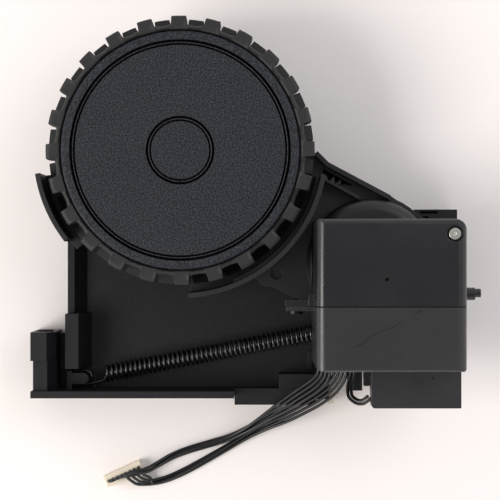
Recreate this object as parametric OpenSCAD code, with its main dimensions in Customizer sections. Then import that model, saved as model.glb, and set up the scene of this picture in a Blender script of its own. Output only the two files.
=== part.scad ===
// Sprung drive wheel module of a robot vacuum, lying on its back with the wheel's outer face up.
// Lengths are millimetres. X runs along the module, Y towards the wheel's road side, Z up from the back.

/* [Wheel] */
// Diameter over the tread blocks
tyre_d = 67.5; // [66:0.5:69]
// Width of the tyre
tyre_w = 17; // [15.5:0.5:18]
// Height of the tyre's outer face above the module's back
tyre_face_z = 36; // [35.5:0.1:37]
// Tread blocks in each of the two rows
tread_blocks = 24; // [18:1:30]
// Depth of a tread pocket
tread_depth = 2.4; // [1.6:0.1:3]
// Share of the pitch that a tread block takes
block_share = 0.46; // [0.4:0.01:0.55]
// Diameter of the opening in the tyre that holds the rim
tyre_bore_d = 60.4; // [58:0.1:61]
// Radius of the ring groove near the hub cap's edge
cap_groove_r = 27; // [24:0.1:28]
// Radius of the small ring at the hub cap's middle
cap_ring_r = 7.9; // [6:0.1:10]
// Diameter of the steel axle
axle_d = 5; // [4:0.1:6]

/* [Swing arm] */
// Pivot pin's place below the wheel axis
pivot_drop = 21; // [20.5:0.1:21.5]
// Diameter of the pivot pin
pin_d = 3.4; // [3:0.1:3.8]
// Height of the arm plate's underside
plate_z = 15.4; // [15.4:0.1:15.8]
// Thickness of the arm plate
plate_t = 2; // [1.8:0.1:2.2]
// Distance from the tread to the outside of the wheel guards
guard_gap = 3.35; // [3:0.05:3.6]
// Wall of the wheel guards
guard_wall = 1.2; // [1:0.1:1.5]
// Height of the wheel guards' edge
guard_top_z = 33; // [30:0.5:35]
// Radius of the round housing over the first gear
drum_r = 16.4; // [16.2:0.1:16.6]
// Height of the round housing's top
drum_top_z = 24; // [22:0.5:26]

/* [Motor box] */
// Distance from the wheel axis to the box's left side
box_left = 33.6; // [33.2:0.1:34]
// Width of the box
box_w = 37.4; // [37:0.1:38]
// Length of the box along Y
box_l = 37.7; // [37:0.1:38.5]
// Height of the box's front face
box_face_z = 44; // [43:0.5:46]
// Wall of the box halves
box_wall = 1.6; // [1.2:0.1:2]
// Length of the upper half of the box
upper_l = 21.8; // [21.4:0.1:22.2]
// Distance from the pivot pin to the box's right side
pin_to_side = 3.1; // [3:0.1:3.4]
// Distance from the pivot pin to the box's upper side
pin_to_top = 3.7; // [3.5:0.1:4]
// Clearance between the drive motor and the nearer wall of its box
motor_gap = 2.1; // [1.7:0.1:2.7]
// Height of the room above the motor for its end cap, its speed sensor and the box's wall
motor_room = 7.55; // [7.55:0.05:9]

/* [Gears] */
// Teeth of each small gear
small_teeth = 12; // [12:1:12]
// Teeth of the large gears on the second and third shafts and on the axle
large_teeth = 42; // [42:1:42]
// Teeth of the large gear that the motor drives
first_teeth = 36; // [34:1:37]
// Gear module of the motor pinion
module_a = 0.5; // [0.48:0.01:0.52]
// Gear module between the first and second shafts
module_b = 0.6; // [0.58:0.01:0.6]
// Gear module between the second and third shafts
module_c = 0.7; // [0.69:0.01:0.7]
// Gear module between the third shaft and the axle
module_d = 0.8; // [0.79:0.01:0.8]
// Play between the flanks of two meshed teeth
backlash = 0.16; // [0.12:0.01:0.2]

/* [Base bracket] */
// Thickness of the back plate
base_t = 2.4; // [2:0.1:2.5]
// Left end of the bracket, left of the wheel axis
base_left = 39.5; // [39:0.1:41]
// Lower side of the bracket's flange, below the wheel axis
base_low = 63.5; // [63:0.1:64.5]
// Height of the lower flange
flange_h = 19; // [16:0.5:20]
// Thickness of the lower flange
flange_t = 1.8; // [1.5:0.1:2.2]
// Height of the left side wall
wall_h = 14; // [12:0.5:14.2]
// Height of the pad at the lower right
pad_h = 8; // [7:0.1:8.5]
// Diameter of the mounting screw holes
mount_hole_d = 3.2; // [2.8:0.1:3.6]

/* [Spring] */
// Mean radius of the coils
coil_r = 1.95; // [1.8:0.05:2.05]
// Diameter of the spring wire
spring_wire = 0.72; // [0.6:0.02:0.8]
// Pitch of the coils in the stretched spring
coil_pitch = 1.28; // [1.26:0.01:1.3]
// Number of coils
coils = 44; // [42:1:45]

/* [Cable] */
// Length of the connector
plug_l = 10.6; // [10:0.1:12]
// Width of the connector
plug_w = 3.2; // [3:0.1:3.6]
// Height of the connector
plug_h = 3.4; // [3.2:0.1:3.6]

/* [Hidden] */

// Clearances: a running fit's radial gap, a gap between moving parts, and a seat between fixed parts
run_gap = 0.05;
air = 0.4;
seat = 0.05;
eps = 0.01;
tuck = 0.05;
fine = 96;
mid = 48;

// Levels of the arm and the box
plate_top = plate_z + plate_t;
case_low = 3;
cover_t = 1.4;
cavity_low = case_low + cover_t;
box_back_z = plate_top + seat;

// Pivot, box and motor places; the wheel axis is the drawing's own zero
box_x0 = box_left;
box_x1 = box_x0 + box_w;
pivot = [box_x1 - pin_to_side, -pivot_drop];
box_y1 = pivot[1] + pin_to_top;
box_y0 = box_y1 - box_l;
part_y = box_y1 - upper_l;
pin_r = pin_d / 2;
drum_c = [48.6, -28.1];
lug_r = 3.8;

// Gear centres: each pair stands at the sum of its pitch radii
function pitch_r(m, z) = m * z / 2;
dist_a = pitch_r(module_a, small_teeth + first_teeth);
dist_b = pitch_r(module_b, small_teeth + large_teeth);
dist_c = pitch_r(module_c, small_teeth + large_teeth);
dist_d = pitch_r(module_d, small_teeth + large_teeth);
function meet(a, ra, b, rb, side) =
    let (d = norm(b - a), x = (d * d + ra * ra - rb * rb) / (2 * d), y = sqrt(ra * ra - x * x), u = (b - a) / d)
    a + x * u + side * y * [-u[1], u[0]];
motor_bearing = -66.44;
motor_c = drum_c + dist_a * [cos(motor_bearing), sin(motor_bearing)];
third_bend = 5;
third_c = dist_d * [cos(atan2(drum_c[1], drum_c[0]) - third_bend), sin(atan2(drum_c[1], drum_c[0]) - third_bend)];
second_c = meet(third_c, dist_c, drum_c, dist_b, 1);

// Gear levels, from the motor's pinion down to the third gear and up again to the axle
gear_t = 2.4;
top_gear_z = 12.2;
mid_gear_z = 9.2;
low_gear_z = 5.6;
gear_pin_r = 1;
gear_bore_r = gear_pin_r + run_gap;
pin_hold = 0.9;

// Wheel levels
tyre_r = tyre_d / 2;
guard_r = tyre_r + guard_gap;
tyre_back_z = tyre_face_z - tyre_w;
rim_r = tyre_bore_d / 2;
rim_wall = 2;
cap_gap = 0.25;
axle_r = axle_d / 2;
bush_wall = 1.25;
bush_r = axle_r + bush_wall;
hub_r = 9;
boss_r = bush_r + 1.6;
boss_top_z = tyre_back_z + 3;

// Outside of the whole module without its cable, which sets the origin
peg_reach = 4.9;
pod_drop = 9.8;
pad_low = base_low + 2.6;
shift_x = -(box_x1 + peg_reach - base_left) / 2;
shift_y = -(tyre_r - pad_low) / 2;

module placed() {
    translate([shift_x, shift_y, 0]) children();
}

// Flat helpers
module corner_cut(p, r, dx, dy) {
    translate(p) difference() {
        translate([min(0, dx * r) - eps * (dx < 0 ? 0 : 1), min(0, dy * r) - eps * (dy < 0 ? 0 : 1)])
            square([r + eps, r + eps]);
        translate([dx * r, dy * r]) circle(r = r, $fn = fine);
    }
}

// A rectangle from lo to hi whose four corners have their own radii: lower left, lower right, upper right, upper left
module rounded_rect(lo, hi, r) {
    difference() {
        translate(lo) square(hi - lo);
        corner_cut(lo, r[0], 1, 1);
        corner_cut([hi[0], lo[1]], r[1], -1, 1);
        corner_cut(hi, r[2], -1, -1);
        corner_cut([lo[0], hi[1]], r[3], 1, -1);
    }
}

// The four points of the strip that touches two circles from outside
function belt(a, ra, b, rb) =
    let (d = norm(b - a), t = atan2(b[1] - a[1], b[0] - a[0]), k = acos((ra - rb) / d))
    [a + ra * [cos(t + k), sin(t + k)], a + ra * [cos(t - k), sin(t - k)],
     b + rb * [cos(t - k), sin(t - k)], b + rb * [cos(t + k), sin(t + k)]];

module spanned(a, ra, b, rb) {
    translate(a) circle(r = ra, $fn = fine);
    translate(b) circle(r = rb, $fn = fine);
    polygon(belt(a, ra - tuck, b, rb - tuck));
}

// A flat ring sector between two radii and two angles
module ring_sector(r0, r1, a0, a1, z0, z1) {
    rotate([0, 0, a0]) rotate_extrude(angle = a1 - a0, $fn = fine)
        translate([r0, z0]) square([r1 - r0, z1 - z0]);
}

module block(lo, hi) {
    translate(lo) cube(hi - lo);
}

// Gear teeth: an involute flank at 25 degrees with a few points
pressure = 25;
flank_steps = 4;
function roll_angle(r, rb) = r <= rb ? 0 : (sqrt(r * r / (rb * rb) - 1) * 180 / PI - acos(rb / r));
function tooth_half(m, z, r) =
    let (rp = pitch_r(m, z), rb = rp * cos(pressure))
    90 / z - backlash / 4 / rp * 180 / PI + roll_angle(rp, rb) - roll_angle(r, rb);
function flank_radii(m, z) =
    let (rb = pitch_r(m, z) * cos(pressure), rt = pitch_r(m, z) + m, rf = pitch_r(m, z) - 1.25 * m, r0 = max(rb, rf))
    concat(rf < rb ? [rf] : [], [for (i = [0 : flank_steps]) r0 + (rt - r0) * i / flank_steps]);
function tooth_points(m, z, k) =
    let (rs = flank_radii(m, z), n = len(rs), mid_a = 360 * k / z)
    concat(
        [for (i = [0 : n - 1]) let (a = mid_a - tooth_half(m, z, rs[i])) rs[i] * [cos(a), sin(a)]],
        [for (i = [n - 1 : -1 : 0]) let (a = mid_a + tooth_half(m, z, rs[i])) rs[i] * [cos(a), sin(a)]]
    );
module gear_outline(m, z) {
    polygon([for (k = [0 : z - 1]) each tooth_points(m, z, k)]);
}

// Turn of gear b so that its gap faces a tooth of gear a, which stands at angle turn_a
function mesh_turn(ca, turn_a, za, cb, zb) =
    let (phi = atan2(cb[1] - ca[1], cb[0] - ca[0])) phi + 180 + (phi - turn_a) * za / zb - 180 / zb;
out_turn = 0;
third_turn = mesh_turn([0, 0], out_turn, large_teeth, third_c, small_teeth);
second_turn = mesh_turn(third_c, third_turn, large_teeth, second_c, small_teeth);
first_turn = mesh_turn(second_c, second_turn, large_teeth, drum_c, small_teeth);
motor_turn = mesh_turn(drum_c, first_turn, first_teeth, motor_c, small_teeth);

// A large gear with a dished web and lightening holes under a small gear or above it
module double_gear(c, turn, m_big, z_big, big_z, m_small, small_z0, small_z1, bottom, top) {
    web_r = pitch_r(m_big, z_big) - 2.6 * m_big;
    hub = pitch_r(m_small, small_teeth) + m_small + 1;
    translate([c[0], c[1], 0]) rotate([0, 0, turn]) difference() {
        union() {
            translate([0, 0, big_z]) linear_extrude(gear_t) gear_outline(m_big, z_big);
            translate([0, 0, small_z0]) linear_extrude(small_z1 - small_z0) gear_outline(m_small, small_teeth);
            translate([0, 0, bottom]) cylinder(r = gear_pin_r + 0.9, h = top - bottom, $fn = mid);
        }
        translate([0, 0, bottom - 1]) cylinder(r = gear_bore_r, h = top - bottom + 2, $fn = mid);
        if (web_r - hub > 2)
            for (z = [big_z - eps, big_z + gear_t - 0.6])
                if (!(z > big_z && small_z0 > big_z) && !(z < big_z && small_z0 < big_z))
                    translate([0, 0, z]) difference() {
                        cylinder(r = web_r, h = 0.6 + eps, $fn = fine);
                        translate([0, 0, -1]) cylinder(r = hub, h = 3, $fn = mid);
                    }
    }
}

// Outline of the gear case: a wall round each gear, grown or shrunk by grow
case_wall = 1.3;
tip_air = 0.5;
out_case_r = pitch_r(module_d, large_teeth) + module_d + tip_air + case_wall;
third_case_r = pitch_r(module_c, large_teeth) + module_c + tip_air + case_wall;
second_case_r = pitch_r(module_b, large_teeth) + module_b + tip_air + case_wall;
module screw_ears() {
    for (i = [0 : len(screw_spots) - 1]) {
        translate(screw_spots[i]) circle(r = screw_boss_r, $fn = mid);
        polygon(belt(screw_owners[i], 4, screw_spots[i], screw_boss_r - tuck));
    }
}
pinion_case_r = pitch_r(module_a, small_teeth) + module_a + tip_air + case_wall;
module case_outline(grow) {
    translate(motor_c) circle(r = pinion_case_r + grow, $fn = mid);
    spanned([0, 0], out_case_r + grow, third_c, third_case_r + grow);
    spanned(third_c, third_case_r + grow, second_c, second_case_r + grow);
    spanned(second_c, second_case_r + grow, drum_c, drum_r + grow);
}

// Cover screws stand just outside the gears, in bosses on the case wall
screw_spots = [[-16.2, -12.7], [6, 19.8], [21.9, -32.2], [24, 5.2], [36.2, -40.6], [65.5, -33]];
screw_owners = [[0, 0], [0, 0], third_c, [12, 0], drum_c, drum_c];
screw_boss_r = 2.4;
screw_core_r = 0.95;

// Where the spring hooks on, and the stop that the arm rests against
spring_z = 7;
anchor = [-26.7, -59];
spring_tilt = 11;
spring_leg = 5.8;
spring_l = coils * coil_pitch;
arm_peg = anchor + (spring_l + 2 * spring_leg) * [cos(spring_tilt), sin(spring_tilt)];
peg_r = 1.2;
stop_x = 57;
stop_gap = 0.3;
stop_y = [box_y0 + 0.9, box_y0 + 5.4];
stop_z = [9, 11.6];

// The base bracket: a tray with a lower flange, a left wall, a mounting block and the pivot's ear
block_x = -33.3;
wall_x = -31;
pad_left = 13.4;
pad_right = 38.4;
ear_z0 = 8;
ear_z1 = 15;
ear_top = box_y1 + 2.9;
mount_c = [block_x - 3.1, 12];
rib_h = 0.9;

module base_outline() {
    polygon([
        [-base_left, -base_low], [pad_left, -base_low], [pad_left, -pad_low], [35, -pad_low],
        [35, -pad_low + 1.5], [pad_right, -pad_low + 1.5], [pad_right, -56.6], [60, -56.6],
        [box_x1 + 0.6, -46], [box_x1 + 0.6, ear_top], [60.6, ear_top], [52, -16], [36, -8],
        [12, -2], [-20, -8], [wall_x, -18], [wall_x, -47.2], [-base_left, -47.2]
    ]);
}

module side_wall() {
    // The high wall runs to the anchor pocket; its inner side leans
    translate([0, -56.2, 0]) rotate([90, 0, 0]) mirror([0, 0, 1]) linear_extrude(14.4)
        polygon([[wall_x, 0], [wall_x + 6, 0], [wall_x + 6, base_t], [wall_x + 3.5, wall_h], [wall_x, wall_h]]);
    translate([0, -41.9, 0]) rotate([90, 0, 0]) mirror([0, 0, 1]) linear_extrude(23.9)
        polygon([[wall_x, 0], [wall_x + 4.8, 0], [wall_x + 4.8, base_t], [wall_x + 1.8, 7], [wall_x, 7]]);
}

module mounting_block() {
    // The block's inner edge is cut slanting, and its lower part stands a step back
    translate([0, -base_low + flange_t - eps, 0]) rotate([90, 0, 0]) mirror([0, 0, 1]) linear_extrude(8)
        polygon([[-base_left + 0.5, 0], [block_x, 0], [block_x, 13], [block_x - 2, 17.5], [-base_left + 0.5, 17.5]]);
    translate([0, -base_low + flange_t + 7.9, 0]) rotate([90, 0, 0]) mirror([0, 0, 1]) linear_extrude(7.4)
        polygon([[-base_left, 0], [block_x, 0], [block_x, 14], [block_x - 2, flange_h], [-base_left, flange_h]]);
    translate([mount_c[0], -base_low + flange_t + 15.2, mount_c[1]]) rotate([-90, 0, 0])
        cylinder(r = mount_hole_d / 2 + 0.6, h = 0.5, $fn = mid);
}

module pivot_ear() {
    // The ear stands off the plate on a wall along the upper side
    translate([0, 0, ear_z0]) linear_extrude(ear_z1 - ear_z0) {
        translate(pivot) circle(r = lug_r, $fn = fine);
        translate([pivot[0] - lug_r, pivot[1]]) square([2 * lug_r, ear_top - pivot[1]]);
    }
    block([60.6, ear_top - 1.8, 0], [box_x1 + 0.6, ear_top, ear_z1]);
}

module base_moulding() {
    difference() {
        union() {
            linear_extrude(base_t) base_outline();
            block([-base_left, -base_low, 0], [pad_left, -base_low + flange_t, flange_h]);
            side_wall();
            mounting_block();
            block([block_x - eps, -base_low + 1, 0], [wall_x + eps, -47.2, 5]);
            block([pad_left, -pad_low, 0], [35, -base_low + flange_t, pad_h]);
            block([35 - eps, -pad_low + 1.5, 0], [pad_right, -base_low + flange_t, pad_h]);
            block([25.2, -base_low + flange_t - eps, 0], [pad_right, -57.9, pad_h + 0.9]);
            block([stop_x - 1.4, stop_y[0], 0], [stop_x, stop_y[1], stop_z[1]]);
            block([33, -57.2, 0], [34.2, -52, base_t + 0.5]);
            translate([anchor[0], anchor[1], 0]) cylinder(r = 1.1, h = 9.4, $fn = mid);
            block([wall_x, anchor[1] - 1.5, 8.4], [anchor[0], anchor[1] + 1.5, 10]);
            block([wall_x, -base_low + 1, 0], [wall_x + 1.4, -56.9, 10]);
            translate([anchor[0], anchor[1], 8.4]) cylinder(r = 1.5, h = 1.6, $fn = mid);
            block([-24.5, -base_low + 1, 0], [-23.6, -58.4, 4]);
            pivot_ear();
        }
        translate([pivot[0], pivot[1], -1]) cylinder(r = pin_r, h = ear_z1 + 2, $fn = mid);
        translate([mount_c[0], 0, mount_c[1]]) rotate([90, 0, 0])
            cylinder(r = mount_hole_d / 2, h = base_low + 2, $fn = mid);
        // Coring from the back leaves a grid of stiffening ribs
        for (c = [[-28, -52, -12, -36], [-9.5, -52, 9.5, -36], [12, -52, 31, -36],
                  [-28, -33.5, -12, -19], [-9.5, -33.5, 9.5, -12], [12, -33.5, 31, -12], [33.5, -46, 50, -20]])
            block([c[0], c[1], -1], [c[2], c[3], rib_h]);
        // The pad and the block are cored from below too
        block([16, -pad_low + 1.6, -1], [33.4, -base_low + flange_t - 1.5, pad_h - 1.8]);
        // The loop beside the ear stays open
        block([62, ear_top - 1.1, ear_z1 - 4], [66.6, ear_top - 0.5, ear_z1 + 1]);
    }
}

// The moulding is parted beside the screw's bore, so that each solid has a simple shape
module screw_corner() {
    block([-base_left - 1, -pad_low - 1, -1], [block_x, 0, flange_h + 1]);
}

module base_bracket() {
    color([0.11, 0.11, 0.12]) placed() difference() {
        base_moulding();
        screw_corner();
    }
}

module screw_block() {
    color([0.11, 0.11, 0.12]) placed() intersection() {
        base_moulding();
        screw_corner();
    }
}

module pivot_pin() {
    color([0.8, 0.8, 0.82]) placed() translate([pivot[0], pivot[1], 0.4]) difference() {
        union() {
            cylinder(r = pin_r, h = box_face_z - 1, $fn = mid);
            translate([0, 0, box_face_z - 1]) cylinder(r1 = pin_r, r2 = pin_r - 0.3, h = 0.4, $fn = mid);
        }
        translate([0, 0, box_face_z - 0.95]) cylinder(r1 = 0, r2 = 0.45, h = 0.4, $fn = mid);
    }
}

// The swing arm: gear case, plate, wheel guards, round housing and ribs in one moulding
right_guard = [273, 350.6];
left_guard = [189, 218];
beam_low = [[4.5, -25.6], [34.4, -40]];
beam_top = [[37.9, -2.3], [53.5, -10.6], [60.8, -15.6]];
step_r = guard_r - guard_wall;
step_z = 26;

module plate_outline() {
    circle(r = 26, $fn = fine);
    polygon([
        beam_low[0], beam_low[1], [box_x0 + 0.9, beam_low[1][1]], [box_x0 + 0.9, box_y0 + 0.9],
        [box_x1 - 1, box_y0 + 0.9], [box_x1 - 1, pivot[1]], [pivot[0], pivot[1] + 2],
        beam_top[2], beam_top[1], beam_top[0], [34.4, 0.4], [30, 8], [10, 12]
    ]);
    translate(drum_c) circle(r = drum_r + 1.2, $fn = fine);
    translate(pivot) circle(r = pin_to_side - 0.1, $fn = mid);
}

module beam_rib(a, b, t, z1) {
    u = (b - a) / norm(b - a);
    n = [-u[1], u[0]];
    c = a - u * 0.4 - n * 0.12;
    d = b + u * 0.4 - n * 0.12;
    translate([0, 0, plate_z + 0.3]) linear_extrude(z1 - plate_z - 0.3) polygon([c, d, d - n * t, c - n * t]);
}

module drum_shell() {
    // A round cap with a soft shoulder
    edge = 3;
    translate([drum_c[0], drum_c[1], 0]) rotate_extrude($fn = fine) difference() {
        union() {
            translate([0, plate_top - eps]) square([drum_r, drum_top_z - edge - plate_top + eps]);
            translate([0, plate_top]) square([drum_r - edge, drum_top_z - plate_top]);
            translate([drum_r - edge, drum_top_z - edge]) circle(r = edge, $fn = fine);
        }
        translate([-20, plate_top - 2]) square([20, 20]);
        translate([-1, plate_top - 1]) square([drum_r - 0.6, drum_top_z - edge - plate_top + 1]);
        translate([-1, plate_top]) square([drum_r - edge, drum_top_z - 1.6 - plate_top]);
    }
}

module swing_arm() {
    color([0.13, 0.13, 0.14]) placed() difference() {
        union() {
            difference() {
                union() {
                    translate([0, 0, plate_z]) linear_extrude(plate_t) plate_outline();
                    translate([0, 0, cavity_low + seat]) linear_extrude(plate_z - cavity_low) {
                        case_outline(0);
                        screw_ears();
                    }
                    ring_sector(24, guard_r, right_guard[0], right_guard[1], plate_z + 0.1, plate_top - 0.1);
                    ring_sector(24, guard_r, left_guard[0], left_guard[1] + 4, plate_z + 0.1, plate_top - 0.1);
                    ring_sector(step_r, guard_r, right_guard[0], right_guard[1], plate_z + 0.1, guard_top_z);
                    ring_sector(step_r, guard_r, left_guard[0], left_guard[1], plate_z + 0.1, guard_top_z);
                    ring_sector(step_r - 1, step_r + 0.5, 292, right_guard[1] - 0.3, plate_z + 0.4, step_z);
                    beam_rib([35.3, 0.3], beam_top[0], 1.2, 22);
                    beam_rib(beam_top[0], beam_top[1], 1.2, 22);
                    beam_rib(beam_top[1], beam_top[2], 1.2, 20.5);
                    beam_rib([37.2, -6.6], [45.4, -11], 0.7, 23);
                    difference() {
                        drum_shell();
                        block([box_x0 - 0.15, box_y0, plate_top - 1], [box_x1, box_y1 + 0.15, box_face_z]);
                    }
                }
                // Gear cavity
                translate([0, 0, 0]) linear_extrude(plate_z) case_outline(-case_wall);
            }
            // Axle boss and seats for the gear pins
            translate([0, 0, plate_z]) cylinder(r = boss_r, h = boss_top_z - plate_z, $fn = fine);
            for (c = [drum_c, second_c, third_c])
                translate([c[0], c[1], plate_z - 0.2]) cylinder(r = gear_pin_r + 1.2, h = 0.2 + eps, $fn = mid);
            // Lower knuckle under the bracket's ear, and its web
            translate([pivot[0], pivot[1], case_low]) cylinder(r = lug_r, h = ear_z0 - case_low - air, $fn = fine);
            translate([0, 0, case_low + cover_t + seat]) linear_extrude(ear_z0 - case_low - cover_t - seat - air)
                polygon([drum_c + [12.9, 0.1], drum_c + [12.9, 6.1], pivot + [-0.9, 3.2], pivot + [0.5, -3.6]]);
            // Spring peg, stop lug and the small bars below the box
            translate([arm_peg[0], arm_peg[1], spring_z - coil_r - 1.3])
                cylinder(r = peg_r, h = plate_z - spring_z + coil_r + 1.5, $fn = mid);
            block([stop_x + stop_gap, stop_y[0] + 0.4, stop_z[0]], [stop_x + stop_gap + 1.8, stop_y[1], plate_z + eps]);
            block([43, -61.6, 13.4], [46.7, box_y0 + 1.4, plate_top]);
            block([47.2, -60.4, 13.4], [48.9, box_y0 + 1.4, plate_top]);
            // Bosses that the box halves drop over
            for (p = [[box_x0 + 4, box_y0 + 4], [box_x1 - 5.4, box_y0 + 4]])
                translate([p[0], p[1], plate_top - eps]) cylinder(r = 1.8, h = 6, $fn = mid);
        }
        // Holes: axle bush, gear pins, motor boss and screws, cover screws, pivot
        translate([0, 0, plate_z - 1]) cylinder(r = bush_r, h = 20, $fn = mid);
        for (c = [drum_c, second_c, third_c])
            translate([c[0], c[1], plate_z - 1]) cylinder(r = gear_pin_r, h = 1 + pin_hold, $fn = mid);
        translate([motor_c[0], motor_c[1], plate_z - 1]) cylinder(r = motor_boss_r, h = plate_t + 2, $fn = mid);
        for (p = motor_screw_spots)
            translate([p[0], p[1], plate_z - 1]) cylinder(r = motor_screw_r, h = plate_t + 2, $fn = mid);
        for (p = screw_spots)
            translate([p[0], p[1], cavity_low - 1]) cylinder(r = screw_core_r, h = 8, $fn = mid);
        translate([pivot[0], pivot[1], 0]) cylinder(r = pin_r + run_gap, h = 30, $fn = mid);
        // Round screw recess beside the guard
        translate([24.4, -31.2, plate_top - 1]) cylinder(r = 1.5, h = 2, $fn = mid);
        // Open window between the guard and the upper ribs
        translate([0, 0, plate_z - 1]) linear_extrude(plate_t + 2)
            polygon([[36.2, -7.4], [36.6, -3.9], [44.3, -8.2]]);
    }
}

motor_boss_r = 3;
motor_screw_spots = [for (a = [-45, 45])
    motor_c + 8.5 * [cos(atan2(motor_c[1] - drum_c[1], motor_c[0] - drum_c[0]) + a),
                     sin(atan2(motor_c[1] - drum_c[1], motor_c[0] - drum_c[0]) + a)]];
motor_screw_r = 1.3;

module gear_cover() {
    color([0.13, 0.13, 0.14]) placed() difference() {
        translate([0, 0, case_low]) linear_extrude(cover_t) {
            case_outline(0);
            screw_ears();
        }
        translate([0, 0, 0]) cylinder(r = bush_r, h = 10, $fn = mid);
        for (c = [drum_c, second_c, third_c])
            translate([c[0], c[1], cavity_low - pin_hold]) cylinder(r = gear_pin_r, h = 2, $fn = mid);
        for (p = screw_spots)
            translate([p[0], p[1], 0]) cylinder(r = screw_core_r + 0.25, h = 10, $fn = mid);
        for (p = screw_spots)
            translate([p[0], p[1], case_low - 1]) cylinder(r = 1.95, h = 1.7, $fn = mid);
        translate([pivot[0], pivot[1], 0]) cylinder(r = lug_r + 0.3, h = 10, $fn = fine);
    }
}

// A pan head screw from below, with a cross recess
module pan_screw(head_r, head_h, shank_r, shank_l) {
    difference() {
        union() {
            cylinder(r = head_r, h = head_h, $fn = mid);
            translate([0, 0, head_h - eps]) cylinder(r = shank_r, h = shank_l, $fn = mid);
            translate([0, 0, head_h + shank_l - 2 * eps]) cylinder(r1 = shank_r, r2 = 0.3, h = 0.8, $fn = mid);
        }
        for (a = [0, 90])
            rotate([0, 0, a]) translate([-head_r * 0.6, -0.18, -1]) cube([head_r * 1.2, 0.36, 1 + head_h * 0.6]);
    }
}

module cover_screws() {
    color([0.6, 0.6, 0.62]) placed() for (p = screw_spots)
        translate([p[0], p[1], case_low - 0.1]) pan_screw(1.85, 0.8, screw_core_r, 6);
}

// The box: rounded along its left, upper and right edges
module box_envelope(grow) {
    lo = [box_x0 - grow, box_y0 - grow];
    hi = [box_x1 + grow, box_y1 + grow];
    top = box_face_z + grow;
    intersection() {
        translate([0, 0, box_back_z - 1]) linear_extrude(top - box_back_z + 1)
            rounded_rect(lo, hi, [for (r = [2, 1, 3.2, 1.2]) max(0.2, r + grow)]);
        translate([0, hi[1] + 1, 0]) rotate([90, 0, 0]) linear_extrude(hi[1] - lo[1] + 2)
            rounded_rect([lo[0], box_back_z - 2], [hi[0], top], [for (r = [0.2, 0.2, 2.4, 2.6]) max(0.2, r + grow)]);
        translate([lo[0] - 1, 0, 0]) rotate([90, 0, 90]) linear_extrude(hi[0] - lo[0] + 2)
            rounded_rect([lo[1], box_back_z - 2], [hi[1], top], [for (r = [0.2, 0.2, 1.4, 0.8]) max(0.2, r + grow)]);
    }
}

module box_shell(y0, y1) {
    difference() {
        intersection() {
            box_envelope(0);
            block([box_x0 - 1, y0, box_back_z], [box_x1 + 1, y1, box_face_z + 1]);
        }
        intersection() {
            box_envelope(-box_wall);
            block([box_x0 - 1, box_y0 - 1, box_back_z - 2], [box_x1 + 1, box_y1 + 1, box_face_z + 1]);
        }
    }
}

ear_reach = 7.3;
ear_t = 1.5;
lug_z = [27, 34];
box_screw_c = [box_x0 - 4.6, 30.5];

module box_upper() {
    color([0.1, 0.1, 0.11]) placed() difference() {
        union() {
            box_shell(part_y + seat, box_y1);
            intersection() {
                translate([pivot[0], pivot[1], box_back_z]) cylinder(r = pin_to_side + 1, h = box_face_z - box_back_z, $fn = fine);
                box_envelope(0);
            }
            // Screw ear on the left, with its root block, and the short peg on the right
            block([box_x0 - ear_reach, part_y + seat, lug_z[0]], [box_x0 + 0.5, part_y + seat + ear_t, lug_z[1]]);
            block([box_x0 - 1.4, part_y + seat, lug_z[0] - 1], [box_x0 + 0.5, part_y + 3.2, lug_z[1] + 1]);
            translate([box_x1 - 0.5, part_y + 3, 30]) rotate([0, 90, 0]) cylinder(r = 1.6, h = 3.9, $fn = mid);
            translate([box_x1 + 3.3, part_y + 3.2, 30]) rotate([0, 90, 0]) cylinder(r = 1.1, h = peg_reach - 3.3, $fn = mid);
        }
        translate([pivot[0], pivot[1], 0]) cylinder(r = pin_r + run_gap, h = box_face_z + 2, $fn = mid);
        translate([pivot[0], pivot[1], box_face_z - 0.8]) cylinder(r = pin_r + 0.4, h = 2, $fn = mid);
        translate([box_screw_c[0], part_y - 1, box_screw_c[1]]) rotate([-90, 0, 0]) cylinder(r = 1, h = 4, $fn = mid);
    }
}

slot_deep = 0.8;
pod_x = [48, 71];
pod_z = [28, 34];

module box_lower() {
    color([0.1, 0.1, 0.11]) placed() difference() {
        union() {
            box_shell(box_y0, part_y - seat);
            block([box_x0 - ear_reach + 0.3, part_y - seat - 1.2, lug_z[0]], [box_x0 + 0.5, part_y - seat, lug_z[1]]);
            // The pocket below the box
            translate([0, 0, pod_z[0]]) linear_extrude(pod_z[1] - pod_z[0])
                rounded_rect([pod_x[0], box_y0 - pod_drop], [pod_x[1] - 0.4, box_y0 + 0.8], [1, 0.3, 0.2, 0.2]);
        }
        block([pod_x[0] + 1.3, box_y0 - pod_drop + 1.3, pod_z[0] - 1], [pod_x[1] - 1.7, box_y0 - 1, pod_z[1] - 1.3]);
        translate([box_screw_c[0], part_y - 5, box_screw_c[1]]) rotate([-90, 0, 0]) cylinder(r = 1.25, h = 8, $fn = mid);
        // Slot for the cable
        block([box_x0 + 1, box_y0 - 1, box_back_z - 1], [box_x0 + 12.4, box_y0 + slot_deep, box_back_z + 3.2]);
    }
}

module box_screw() {
    color([0.2, 0.2, 0.21]) placed() translate([box_screw_c[0], part_y - seat - 1.2 - 0.8, box_screw_c[1]])
        rotate([-90, 0, 0]) pan_screw(1.9, 0.8, 1, 2.4);
}

// Motor, its shaft, pinion and speed sensor
motor_r = min(motor_c[1] - box_y0, box_x1 - motor_c[0]) - box_wall - motor_gap;
motor_z0 = plate_top + seat;
motor_z1 = box_face_z - motor_room;
motor_l = motor_z1 - motor_z0;
shaft_r = 1;

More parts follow.
